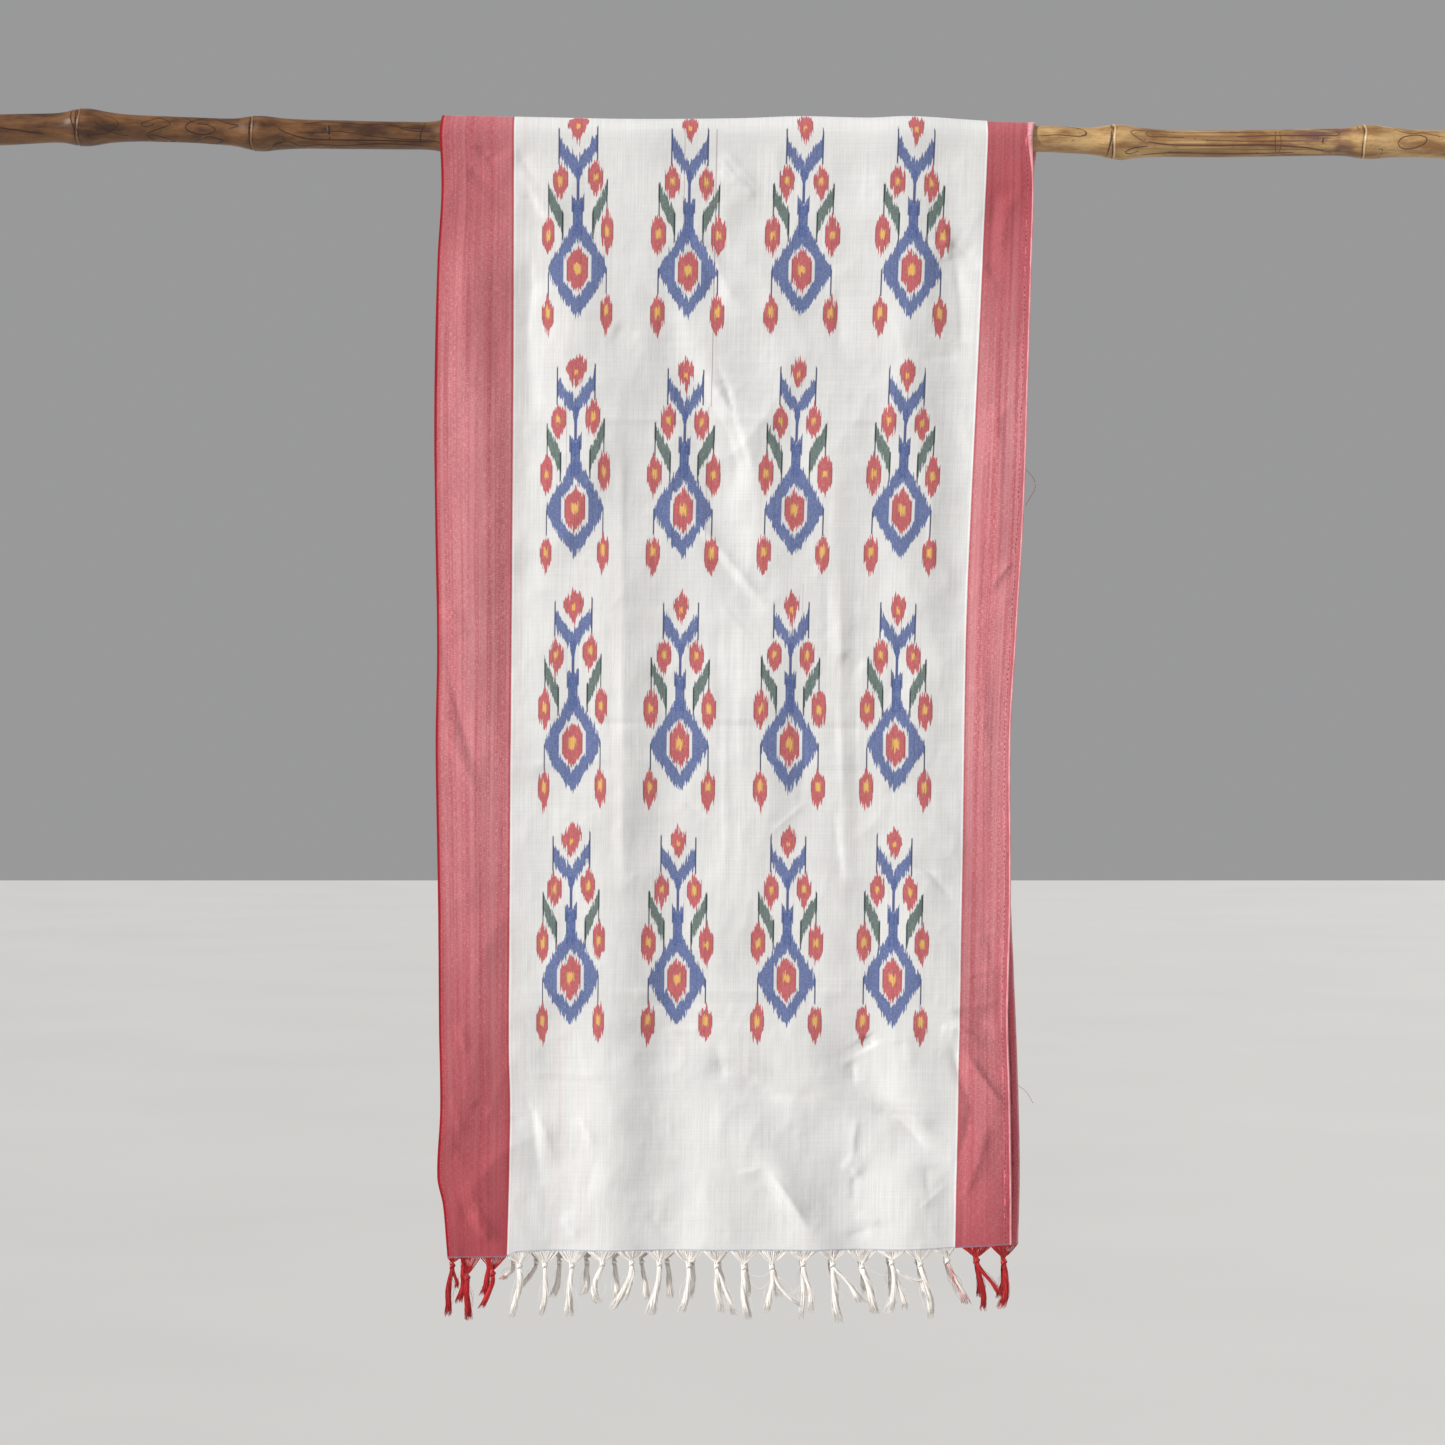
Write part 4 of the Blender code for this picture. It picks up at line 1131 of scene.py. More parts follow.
class Batch:
    """Many small parts as one mesh, whose points carry three numbers for the material to read.

    For yarns they are the dye, a shade and a number. For the bamboo they are burnt, ring and cut.
    """

    def __init__(self):
        self.vertices = []
        self.faces = []
        self.values = []
        self.count = 0

    def add(self, vertices, faces, value):
        self.vertices.append(vertices)
        self.faces += [[corner + self.count for corner in face] for face in faces]
        self.values.append(np.broadcast_to(value, (len(vertices), 3)))
        self.count += len(vertices)

    def add_tubes(self, paths, radii, sides, value):
        """value is one row of three numbers per tube."""
        vertices, faces = tubes(paths, radii, sides)
        self.add(vertices, faces, np.repeat(value, paths.shape[1] * sides, axis=0))

    def build(self, name, material):
        item = add_mesh(name, np.concatenate(self.vertices), self.faces, material)
        set_values(item, "look", np.concatenate(self.values))
        return item


def smooth_path(points, steps):
    """Points on a smooth curve through the given ones."""
    points = np.array(points, float)
    places = np.concatenate([[0.0], np.cumsum(np.linalg.norm(np.diff(points, axis=0), axis=1))])
    at = np.linspace(0.0, places[-1], steps)
    table = np.column_stack([places, points])
    return np.stack([curve(table, axis + 1, at) for axis in range(3)], axis=-1)


def yarn_values(dye, count):
    """Dye, a shade of its own, and a number for each yarn."""
    return np.stack([np.full(count, dye), random.random(count), random.random(count)], axis=1)


def add_knot(batch, x, y, z, dye):
    """A small hard knot whose surface winds round like the yarns in it."""
    wide, deep, high = KNOT_SIZE
    middle = z - KNOT_DROP
    polar = math.pi * (np.arange(KNOT_RINGS)[:, None] + 0.5) / KNOT_RINGS
    turn = 2 * math.pi * np.arange(KNOT_SIDES)[None, :] / KNOT_SIDES
    ridge = 1 + 0.13 * np.cos(4 * turn + 5 * polar) + 0.05 * np.cos(9 * turn - 3 * polar)
    round_it = np.sin(polar) ** 0.8 * ridge
    points = [
        x + wide * round_it * np.cos(turn),
        y + deep * round_it * np.sin(turn),
        middle + high * np.cos(polar) * ridge,
    ]
    points = np.stack(points, axis=-1).reshape(-1, 3)
    batch.add(points, ring_faces(KNOT_RINGS, KNOT_SIDES, turned=True), (dye, 0.5, 0.5))
    turn = np.linspace(0.0, 2 * math.pi, 13)[None, :]
    tilt = np.linspace(-0.9, 0.9, KNOT_LOOPS)[:, None]
    shift = np.linspace(1.2, -1.2, KNOT_LOOPS)[:, None]
    loop_x = x + (wide + 0.25) * np.cos(turn) + 0 * tilt
    loop_y = y + (deep + 0.25) * np.sin(turn) + 0 * tilt
    loop_z = middle + shift + tilt * wide * np.cos(turn + 0.6)
    paths = np.stack([loop_x, loop_y, loop_z], axis=-1)
    batch.add_tubes(paths, np.full(paths.shape[:2], 0.5), 4, yarn_values(dye, KNOT_LOOPS))


def add_lock(batch, root, tip, count, spread, bow, dye):
    """A soft bundle of yarns round a fuller core, from a knot to its cut and frayed tip."""
    steps = np.linspace(0.0, 1.0, YARN_STEPS)
    neck = LOCK_RADIUS * (count / FULL_LOCK) ** 0.5
    sway = random.uniform(-0.5, 0.5)

    def middle(s):
        x = root[0] + (tip[0] - root[0]) * s**1.25 + bow * np.sin(math.pi * np.clip(s, 0, 1))
        x = x + (0.5 + 0.4 * sway) * np.sin(7.5 * s + root[0]) * np.clip(4 * s, 0, 1)
        return x, root[1] + (tip[1] - root[1]) * s, root[2] + (tip[2] - root[2]) * s

    def size(s):
        flare = (spread - neck) * np.clip((s - 0.5) / 0.5, 0, 1) ** 1.8
        return neck * (0.85 + 0.3 * np.sin(2.2 * s + sway)) + flare

    yarns = int(count * YARNS_PER_COUNT)
    angle = random.uniform(0.0, 2 * math.pi, yarns)
    reach = 0.62 + 0.38 * random.random(yarns) ** 0.8
    length = random.uniform(0.9, 1.04, yarns)
    loose = random.random(yarns) > 0.93
    s = steps[None, :] * length[:, None]
    middle_x, middle_y, middle_z = middle(s)
    wide = size(s)
    turn = angle[:, None] + 1.9 * s + 0.3 * np.sin(7 * s + angle[:, None])
    wander = 0.25 + 1.5 * loose[:, None]
    out = wide * reach[:, None]
    x = middle_x + out * np.cos(turn) + wander * s * np.sin(5.1 * s + 9 * angle[:, None])
    y = middle_y + 0.8 * out * np.sin(turn) + wander * s * np.cos(4.3 * s + 7 * angle[:, None])
    paths = np.stack([x, y, middle_z], axis=-1)
    radii = YARN_RADIUS * (1 - 0.4 * steps[None, :] ** 3) * np.ones((yarns, 1))
    batch.add_tubes(paths, radii, YARN_SIDES, yarn_values(dye, yarns))
    s = np.linspace(0.0, 0.93, 12)
    core = np.stack(middle(s), axis=-1)[None]
    thick = size(s) * CORE_SHARE * np.clip((0.99 - s) / 0.2, 0.25, 1.0)
    batch.add_tubes(core, thick[None], CORE_SIDES, yarn_values(dye, 1))
    add_stray(batch, root, tip, spread, dye)


def add_stray(batch, root, tip, spread, dye, count=3):
    """Single fine fibres that stand off a lock."""
    steps = np.linspace(0.0, 1.0, YARN_STEPS)
    side = random.choice([-1.0, 1.0], count)
    start = random.uniform(0.05, 0.3, count)
    end = random.uniform(0.6, 1.02, count)
    s = start[:, None] + (end - start)[:, None] * steps
    swell = (spread * 0.8 + random.uniform(0.6, 2.6, count)) * side
    x = root[0] + (tip[0] - root[0]) * s + swell[:, None] * np.sin(math.pi * steps * 0.8)
    x = x + 0.5 * np.sin(9 * s + 5 * swell[:, None])
    y = root[1] + (tip[1] - root[1]) * s + random.uniform(-2.0, 2.0, count)[:, None] * steps
    z = root[2] + (tip[2] - root[2]) * s + 1.5 * steps * (1 - steps)
    radii = np.full((count, YARN_STEPS), 0.12)
    batch.add_tubes(np.stack([x, y, z], axis=-1), radii, 3, yarn_values(dye, count))


def hem_at(hem, x):
    """Depth and height of the cloth's lower edge at a place across."""
    return np.interp(x, hem[:, 0], hem[:, 1]), np.interp(x, hem[:, 0], hem[:, 2])


def add_web(batch, hem, left, right, knot_x, knot_z, hollow, dye_at):
    """Warps that run from the hem to the knot as a fan, bunched, the outermost along its edge."""
    count = max(int((right - left) / WARP_PITCH), 4)
    x = np.linspace(left + 0.35, right - 0.35, count) + random.uniform(-0.15, 0.15, count)
    y, z = hem_at(hem, x)
    half = np.where(x < knot_x, knot_x - left, right - knot_x)
    aside = np.clip(np.abs(x - knot_x) / half, 0.0, 1.0)
    bend = 1 + (hollow - 1) * aside**2
    bundle = (right - left) / WEB_BUNDLES
    nearest = left + (np.floor((x - left) / bundle) + 0.5) * bundle
    knot_y = hem_at(hem, knot_x)[0]
    drift_y = random.normal(0.0, 0.5, count)
    drift_z = random.normal(0.0, 0.35, count)
    top = z - 0.6
    rows = [np.stack([x, y, z + 0.5], axis=-1)]
    for share in (0.0, 0.2, 0.4, 0.6, 0.8, 1.0):
        gather = 0.5 * math.sin(math.pi * min(share + 0.1, 1.0))
        here_x = x + (nearest - x) * gather
        here_x = here_x + (knot_x - here_x) * share + (0.4 * drift_z if share > 0.9 else 0.0)
        here_y = y + (knot_y - y) * share + drift_y * (1 - 0.3 * share)
        here_z = knot_z + (top - knot_z) * (1 - share) ** bend + drift_z * share * 0.6
        rows.append(np.stack([here_x, here_y, here_z], axis=-1))
    rows.append(rows[-1] - np.array([0.0, 0.0, 2.0]))
    paths = np.stack(rows, axis=1)
    values = yarn_values(0.0, count)
    values[:, 0] = dye_at(x)
    batch.add_tubes(paths, np.full(paths.shape[:2], WARP_RADIUS), YARN_SIDES, values)


def build_fringe(name, material, hem, tassels, start, end, borders, extra=None):
    """One group of tassels with their webs, from start to end along the hem."""
    batch = Batch()
    knots = [row[0] for row in tassels]
    limits = [hem[0, 0], *((a + b) / 2 for a, b in zip(knots, knots[1:])), hem[-1, 0]]

    def dye_at(x):
        return np.where((x < borders[0]) | (x > borders[1]), 1.0, 0.0)

    for index, (knot_x, knot_z, hollow, dye, locks) in enumerate(tassels):
        if not start < knot_x < end:
            continue
        left, right = max(limits[index], start), min(limits[index + 1], end)
        add_web(batch, hem, left, right, knot_x, knot_z, hollow, dye_at)
        y = hem_at(hem, knot_x)[0]
        add_knot(batch, knot_x, y, knot_z, 1.0 if dye > 0.7 else 0.0)
        root = (knot_x, y, knot_z - LOCK_START)
        for tip_x, tip_z, yarns, spread, bow in locks:
            if 0 < dye < 1:
                red = int(yarns * dye)
                add_lock(batch, root, (tip_x - 1.0, y, tip_z), red, spread, bow, 1.0)
                add_lock(batch, root, (tip_x, y, tip_z), yarns - red, spread, bow, 0.0)
            else:
                tip = (tip_x, y + random.uniform(-1.0, 1.0), tip_z)
                add_lock(batch, root, tip, yarns, spread, bow, dye)
    if extra:
        extra(batch, hem)
    return batch.build(name, material)


def sagging_line(hem, run, forward):
    """Points of a yarn that hangs from one place to another, in front of the hem."""
    start_x, start_z, end_x, end_z, sag = run
    s = np.linspace(0.0, 1.0, YARN_STEPS)
    y = hem_at(hem, start_x)[0] - forward
    z = start_z + (end_z - start_z) * s - 4 * sag * s * (1 - s)
    return np.stack([start_x + (end_x - start_x) * s, y + 0 * s, z], -1)[None]


def front_extras(batch, hem):
    """The lock that crosses to the next tassel, and long fibres that bridge between tassels."""
    swell = 0.6 + 0.8 * np.sin(math.pi * np.linspace(0.0, 1.0, YARN_STEPS))
    for *run, yarns in CROSS_LOCKS:
        offsets = random.normal(0.0, 0.6, (yarns, 1, 3))
        paths = sagging_line(hem, run, 1.5) + offsets * swell[None, :, None]
        batch.add_tubes(paths, np.full(paths.shape[:2], 0.25), YARN_SIDES, yarn_values(0.0, yarns))
    for run in BRIDGES:
        path = sagging_line(hem, run, 1.0)
        batch.add_tubes(path, np.full(path.shape[:2], 0.15), 3, yarn_values(0.0, 1))


def back_tassel_rows():
    """Tassels of the back end, which hang nearly behind those of the front end."""
    rows = []
    for i, (place, sideways, upwards) in enumerate(BACK_TASSELS):
        level = float(curve(BACK_HEM, 1, place))
        dye = 0.0 if BACK_BORDERS[0] < place < BACK_BORDERS[1] else 1.0
        dye = MIXED_BACK_DYE if place == MIXED_BACK_TASSEL else dye
        tip = (place + sideways, level - BACK_TIP_DROP + upwards, BACK_YARNS, BACK_SPREAD, 1.0)
        rows.append((place, level - BACK_KNOT_DROP, 1.5, dye, (tip,)))
    return rows


def build_hem(cloth, part, material):
    """The turned hem behind the right edge: a flat fold, and its rolled rim at the very edge."""
    first, last = cloth.spans[part]
    points = cloth.points[first : last + 1]
    edge = points[:, -1]
    inward = unit(points[:, -4] - points[:, -1])
    out = cloth.outward[first : last + 1, -3]
    level = np.clip((edge[:, 2:] - FLAP_FOOT) / FLAP_RISE, 0.0, 1.0) * (part != "back")
    flap = 1 + FLAP_SPREAD * level**1.2
    rings = [edge + inward * a * (flap if b > 0.3 else 1.0) + out * b for a, b in HEM_PROFILE]
    rings = np.stack(rings, axis=1)
    rows, sides = rings.shape[:2]
    vertices = rings.reshape(-1, 3)
    item = add_mesh("turned_hem_" + part, vertices, ring_faces(rows, sides), material)
    values = np.zeros((rows, sides, 3))
    values[..., 0] = CLOTH_WIDTH - np.array(HEM_PROFILE)[:, 0]
    values[..., 1] = cloth.flat[first : last + 1, -1, 1][:, None]
    set_values(item, "flat", values.reshape(-1, 3) * MM)
    return item


def build_stitches(cloth, part, material):
    """Short running stitches along the turned hem, each a small raised bead of thread."""
    first, last = cloth.spans[part]
    points = cloth.points[first : last + 1]
    along = cloth.flat[first : last + 1, -1, 1]
    width = FRONT_EDGES[-1][2] - FRONT_EDGES[-1][1]
    column = int(np.argmin(np.abs((1 - cloth.across) * width - STITCH_LINE)))
    line, out = points[:, column], cloth.outward[first : last + 1, column]
    inward = unit(points[:, column - 3] - points[:, column])
    order = np.argsort(along)

    def value_at(place, values):
        return np.array([np.interp(place, along[order], values[order, axis]) for axis in range(3)])

    paths = []
    place = along.min() + 1.5
    while place + STITCH_LENGTH < along.max() - 0.5:
        wobble = 0.35 * math.sin(place / 9.0) + 0.3 * math.sin(place / 3.7)
        rows = []
        for share in (0.0, 0.3, 0.7, 1.0):
            at = place + STITCH_LENGTH * share
            lift = 0.28 + 0.22 * math.sin(math.pi * share)
            aside = value_at(at, inward) * wobble
            rows.append(value_at(at, line) + value_at(at, out) * lift + aside)
        paths.append(rows)
        place += STITCH_PITCH * (1 + 0.18 * math.sin(place * 1.3))
    paths = np.array(paths)
    batch = Batch()
    radii = np.full(paths.shape[:2], STITCH_RADIUS)
    batch.add_tubes(paths, radii, 4, yarn_values(1.0, len(paths)))
    return batch.build("hem_stitches_" + part, material)


def stem_nodes():
    """Place and radius of each node of the bamboo as it is dressed."""
    shifts = {HIDDEN_NODE: HIDDEN_SHIFT}
    return [(place + shifts.get(place, 0.0), ridge) for place, ridge in ROD_NODES]


def from_ring(number, place, x, angle):
    """Distance along the stem from the uneven ring of a node."""
    return x - place - 0.8 * np.sin(angle + number) - 0.5 * np.sin(3 * angle - number)


def stem_radius(x, angle):
    """The bamboo's radius at places along it and at angles round it from its back."""
    radius = curve(ROD_RUN, 2, x)
    radius = radius + 0.16 * np.sin(2 * angle + x / 90.0) + 0.1 * np.sin(3 * angle - x / 55.0)
    for number, (place, ridge) in enumerate(stem_nodes()):
        swell = ridge - curve(ROD_RUN, 2, place)
        share = np.where(np.abs(x - place) < NODE_SPAN, curve(NODE_SHAPE, 1, x - place), 0.0)
        radius = radius + swell * share * (1 + 0.05 * np.sin(5 * angle + number * 2.1))
        for middle, half, rise in (RIDGE, GROOVE):
            radius = radius + rise * hump(from_ring(number, place, x, angle), middle, half)
        turn = np.angle(np.exp(1j * (angle - 2.0 * number - 0.8)))
        radius = radius + 0.9 * hump(turn, 0.0, 0.32) * hump(x - place, 8.0, 5.0)
    return radius


def burnt_ribbons():
    """Lines on the bamboo's front, and shifted copies on its back, as vertices and faces."""
    for points, wide in BURNT_LINES:
        flat = np.array([(x, 0.0, z) for x, z in points])
        steps = max(6, int(np.linalg.norm(np.diff(flat, axis=0), axis=1).sum() / BURNT_STEP))
        line = smooth_path(flat, steps)
        taper = np.sin(np.linspace(0.25, math.pi - 0.25, steps)) ** 0.3
        half = wide * BURNT_WIDEN / 2 * taper
        rise = (line[:, 2] - rod_height(line[:, 0])) / curve(ROD_RUN, 2, line[:, 0])
        rise = np.clip(rise, -0.98, 0.98)
        for side, shift in ((-1.0, 0.0), (1.0, BURNT_SHIFT)):
            x = line[:, 0] + shift
            angle = np.arctan2(rise, side * np.sqrt(1 - rise**2))
            out = np.stack([0 * angle, np.cos(angle), np.sin(angle)], axis=-1)
            spine = np.stack([x, 0 * x, rod_height(x)], axis=-1)
            spine = spine + out * stem_radius(x, angle)[:, None]
            aside = unit(np.cross(unit(np.gradient(spine, axis=0)), out)) * half[:, None]
            section = [spine + aside * share + out * lift for share, lift in BURNT_SECTION]
            vertices = np.stack(section, axis=1).reshape(-1, 3)
            yield vertices, ring_faces(steps, len(BURNT_SECTION), turned=True)


def build_rod(material):
    """The bamboo: soft nodes with thin ridges, slightly uneven round, with burnt lines on it."""
    places = set(np.linspace(-ROD_LENGTH / 2, ROD_LENGTH / 2, ROD_STEPS + 1).tolist())
    for place, _ in stem_nodes():
        places |= set((place + np.linspace(-12, 18, 61)).tolist())
    x = np.array(sorted(places))[:, None]
    angle = 2 * math.pi * np.arange(ROD_SIDES) / ROD_SIDES
    radius = stem_radius(x, angle)
    round_it = np.stack([0 * radius, radius * np.cos(angle), radius * np.sin(angle)], axis=-1)
    spine = np.stack([x, 0 * x, rod_height(x)], axis=-1)
    first = [spine[0] + (depth, 0, 0) + round_it[0] * share for share, depth in CUT_END[::-1]]
    last = [spine[-1] - (depth, 0, 0) + round_it[-1] * share for share, depth in CUT_END]
    rings = np.concatenate([first, spine + round_it, last])
    rows = len(rings)
    points = rings.reshape(-1, 3)
    values = np.zeros((rows, ROD_SIDES, 3))
    turn = np.arctan2(points[:, 2] - rod_height(points[:, 0]), points[:, 1])
    for number, (place, _) in enumerate(stem_nodes()):
        away = from_ring(number, place, points[:, 0], turn).reshape(rows, -1)
        for middle, half, rise in (RIDGE, GROOVE):
            values[..., 1] += np.sign(rise) * hump(away, middle, half)
    values[: len(CUT_END), :, 2] = 1.0
    values[-len(CUT_END) :, :, 2] = 1.0
    batch = Batch()
    batch.add(points, ring_faces(rows, ROD_SIDES), values.reshape(-1, 3))
    for vertices, faces in burnt_ribbons():
        batch.add(vertices, faces, (1.0, 0.0, 0.0))
    item = batch.build("bamboo_rod", material)
    item.data.set_sharp_from_angle(angle=math.radians(45))
    return item


def linear(colour):
    """A colour given as it shows, 0 to 255, for a shader's socket."""
    parts = []
    for value in colour:
        v = value / 255.0
        parts.append(v / 12.92 if v <= 0.04045 else ((v + 0.055) / 1.055) ** 2.4)
    return (*parts, 1.0)


class Shade:
    """Short calls for the nodes of one material."""

    def __init__(self, name, roughness, **settings):
        self.material = bpy.data.materials.new(name)
        self.material.use_nodes = True
        self.nodes = self.material.node_tree.nodes
        self.links = self.material.node_tree.links
        self.shader = self.nodes["Principled BSDF"]
        self.shader.inputs["Roughness"].default_value = roughness
        for socket, value in settings.items():
            self.shader.inputs[socket.replace("_", " ")].default_value = value

    def put(self, socket, value):
        if isinstance(value, bpy.types.NodeSocket):
            self.links.new(value, socket)
        else:
            socket.default_value = value

    def math(self, operation, *values, clamp=False):
        node = self.nodes.new("ShaderNodeMath")
        node.operation = operation
        node.use_clamp = clamp
        for socket, value in zip(node.inputs, values):
            self.put(socket, value)
        return node.outputs[0]

    def times(self, first, second):
        return self.math("MULTIPLY", first, second)

    def line(self, value, slope, start, clamp=False):
        """The value times the slope, plus the start."""
        return self.math("MULTIPLY_ADD", value, slope, start, clamp=clamp)

    def apart(self, first, second):
        return self.math("ABSOLUTE", self.math("SUBTRACT", first, second))

    def between(self, value, low, high):
        """One where the value is between the two, and zero elsewhere."""
        above = self.math("GREATER_THAN", value, low)
        return self.times(above, self.math("LESS_THAN", value, high))

    def mix(self, share, first, second):
        node = self.nodes.new("ShaderNodeMix")
        node.data_type = "RGBA"
        self.put(node.inputs[0], share)
        self.put(node.inputs[6], first)
        self.put(node.inputs[7], second)
        return node.outputs[2]

    def tint(self, colour, *layers):
        """Lays tones over a colour one after the other, each by its share."""
        for share, tone in layers:
            colour = self.mix(share, colour, linear(tone))
        return colour

    def place(self):
        """Place in metres, from the middle of the rod."""
        return self.nodes.new("ShaderNodeTexCoord").outputs["Object"]

    def attribute(self, name):
        """The three numbers of an attribute."""
        node = self.nodes.new("ShaderNodeAttribute")
        node.attribute_name = name
        parts = self.nodes.new("ShaderNodeSeparateXYZ")
        self.links.new(node.outputs["Vector"], parts.inputs[0])
        return parts.outputs

    def vector(self, x=0.0, y=0.0, z=0.0):
        node = self.nodes.new("ShaderNodeCombineXYZ")
        for socket, value in zip(node.inputs, (x, y, z)):
            self.put(socket, value)
        return node.outputs[0]

    def noise(self, vector, detail=2.0, roughness=0.5, scale=1.0):
        node = self.nodes.new("ShaderNodeTexNoise")
        self.put(node.inputs["Vector"], vector)
        node.inputs["Scale"].default_value = scale
        node.inputs["Detail"].default_value = detail
        node.inputs["Roughness"].default_value = roughness
        return node.outputs[0]

    def chance(self, vector):
        """Three random numbers for each whole-numbered place."""
        node = self.nodes.new("ShaderNodeTexWhiteNoise")
        node.noise_dimensions = "3D"
        self.put(node.inputs["Vector"], vector)
        parts = self.nodes.new("ShaderNodeSeparateColor")
        self.links.new(node.outputs["Color"], parts.inputs[0])
        return parts.outputs

    def remap(self, value, low, high, to_low=0.0, to_high=1.0):
        """A value from low to high becomes one from to_low to to_high, and stays within them."""
        node = self.nodes.new("ShaderNodeMapRange")
        self.put(node.inputs[0], value)
        for socket, number in zip(node.inputs[1:5], (low, high, to_low, to_high)):
            socket.default_value = number
        return node.outputs[0]

    def finish(self, colour, height=None, strength=0.3, distance=0.0003):
        """Joins the colour, and a relief that is bumped over this distance in metres."""
        self.put(self.shader.inputs["Base Color"], colour)
        if height is not None:
            bump = self.nodes.new("ShaderNodeBump")
            bump.inputs["Strength"].default_value = strength
            bump.inputs["Distance"].default_value = distance
            self.links.new(height, bump.inputs["Height"])
            self.links.new(bump.outputs[0], self.shader.inputs["Normal"])
        return self.material


# Ikat: width of a dyed bundle of warps and of a thread, and how soft the dyed ends and sides are.
BUNDLE = 2.1
THREAD = 0.75
FEATHER = 1.3
SIDE_FEATHER = 0.5
# A shape wider than this has its lower sides bent a little, like the medallion's.
WIDE_SHAPE = 20.0
LOW_BEND = 1.15


def motif_layers(s):
    """Masks of the motif's shapes, feathered along the warp as resist-dyed bundles are."""
    across, up, number = s.attribute("motif")
    across, up = s.times(across, 1 / MM), s.times(up, 1 / MM)
    number = s.math("ROUND", number)
    place = s.math("DIVIDE", across, BUNDLE)
    bundle, part = s.math("FLOOR", place), s.math("FRACT", place)
    peak = s.line(s.math("ABSOLUTE", s.line(part, 2.0, -1.0)), -0.75, 1.0)
    thread = s.math("FLOOR", s.math("DIVIDE", across, THREAD))
    coarse, fine = [], []
    for shift in (0.0, 50.0, 90.0):
        coarse += list(s.chance(s.vector(bundle, number, shift)))[:3]
    for shift in (0.0, 30.0):
        fine += list(s.chance(s.vector(thread, number, shift)))[:3]
    distance = s.math("ABSOLUTE", across)
    column = s.math("MODULO", s.math("SUBTRACT", number, 1.0), float(len(MOTIF_COLUMNS)))
    first_column = s.math("LESS_THAN", column, 0.5)
    lowered = s.line(s.between(number, *HIGH_ROW), -HIGH_FLOWER_RISE, up)

    def spikes(pick, size):
        """Uneven ends of the bundles: some threads run on past them and some stop short."""
        ends = s.line(s.times(coarse[pick % 9], peak), 1.2 * size, -0.42 * size)
        ends = s.line(fine[pick % 6], 0.5 * size, ends)
        short = s.line(fine[(pick + 2) % 6], 3.6, -2.6, clamp=True)
        return s.line(short, -0.8 * size, s.math("SUBTRACT", ends, 0.25 * size))

    def feathered(inside, softness):
        return s.line(inside, 1 / softness, 0.5, clamp=True)

    layers = []
    for index, row in enumerate(MOTIF_SHAPES):
        colour, middle, half_width, top, top_side, bottom, bottom_side, size, slanted = row
        wide = half_width
        if index == TOP_FLOWER:
            wide = s.line(first_column, TOP_FLOWER_SPREAD, half_width)
        signed = s.math("SUBTRACT", distance, middle)
        aside = s.math("ABSOLUTE", signed)
        slide = s.math("DIVIDE", signed if slanted else aside, wide)
        low_slide = s.math("POWER", slide, LOW_BEND) if half_width > WIDE_SHAPE else slide
        level = lowered if index in HIGH_FLOWERS else up
        high = s.math("ADD", s.line(slide, top_side, top), spikes(index, size))
        low = s.line(low_slide, bottom_side, bottom)
        low = s.math("SUBTRACT", low, spikes(index * 5 + 3, size))
        under = feathered(s.math("SUBTRACT", high, level), FEATHER)
        over = feathered(s.math("SUBTRACT", level, low), FEATHER)
        side = s.math("SUBTRACT", wide, aside)
        mask = s.times(s.times(under, over), feathered(side, SIDE_FEATHER))
        edge = s.line(side, -1.0, 1.5, clamp=True)
        layers.append((colour, mask, edge, half_width))
    return layers, fine[1]


def flat_grain(s, across, along):
    """Noise over the flat cloth, by how often it changes for each metre across and along."""

    def grain(across_rate, along_rate, detail=2.0, roughness=0.6):
        place = s.vector(s.times(across, across_rate), s.times(along, along_rate))
        return s.noise(place, detail, roughness)

    return grain


def painted_border_shade(s, across, along):
    """Painted shade over the borders: a darker red, stretch by stretch, as layers of a tint."""
    on_right = s.math("GREATER_THAN", across, CLOTH_WIDTH / 2 * MM)
    for lower, upper, low_shade, high_shade in BORDER_SHADE:
        lower, upper = lower * MM, upper * MM
        left = s.remap(along, lower, upper, low_shade[0], high_shade[0])
        right = s.remap(along, lower, upper, low_shade[1], high_shade[1])
        depth = s.mix(on_right, left, right)
        # painted shade: each stretch of the borders gets this darker red by its share
        yield s.times(s.between(along, lower, upper), depth), (158, 52, 62)


def dyed_shapes(s, colour, white, fleck):
    """The motifs over the field: woven flecks in each shape, and a darker rim."""
    layers, thread = motif_layers(s)
    for name, mask, edge, half_width in layers:
        tone = linear(DYES[name])
        shade = white if name == "white" else tone
        if name != "white" and half_width >= 2:
            pale = linear([c + (255 - c) * 0.34 for c in DYES[name]])
            dark = linear([c * 0.72 for c in DYES[name]])
            shade = s.mix(s.times(fleck, 0.6), tone, pale)
            shade = s.mix(s.times(edge, 0.6), shade, dark)
            shade = s.mix(s.remap(thread, 0.75, 1.0, 0.0, 0.4), shade, dark)
        colour = s.mix(s.times(mask, 0.94), colour, shade)
    return colour


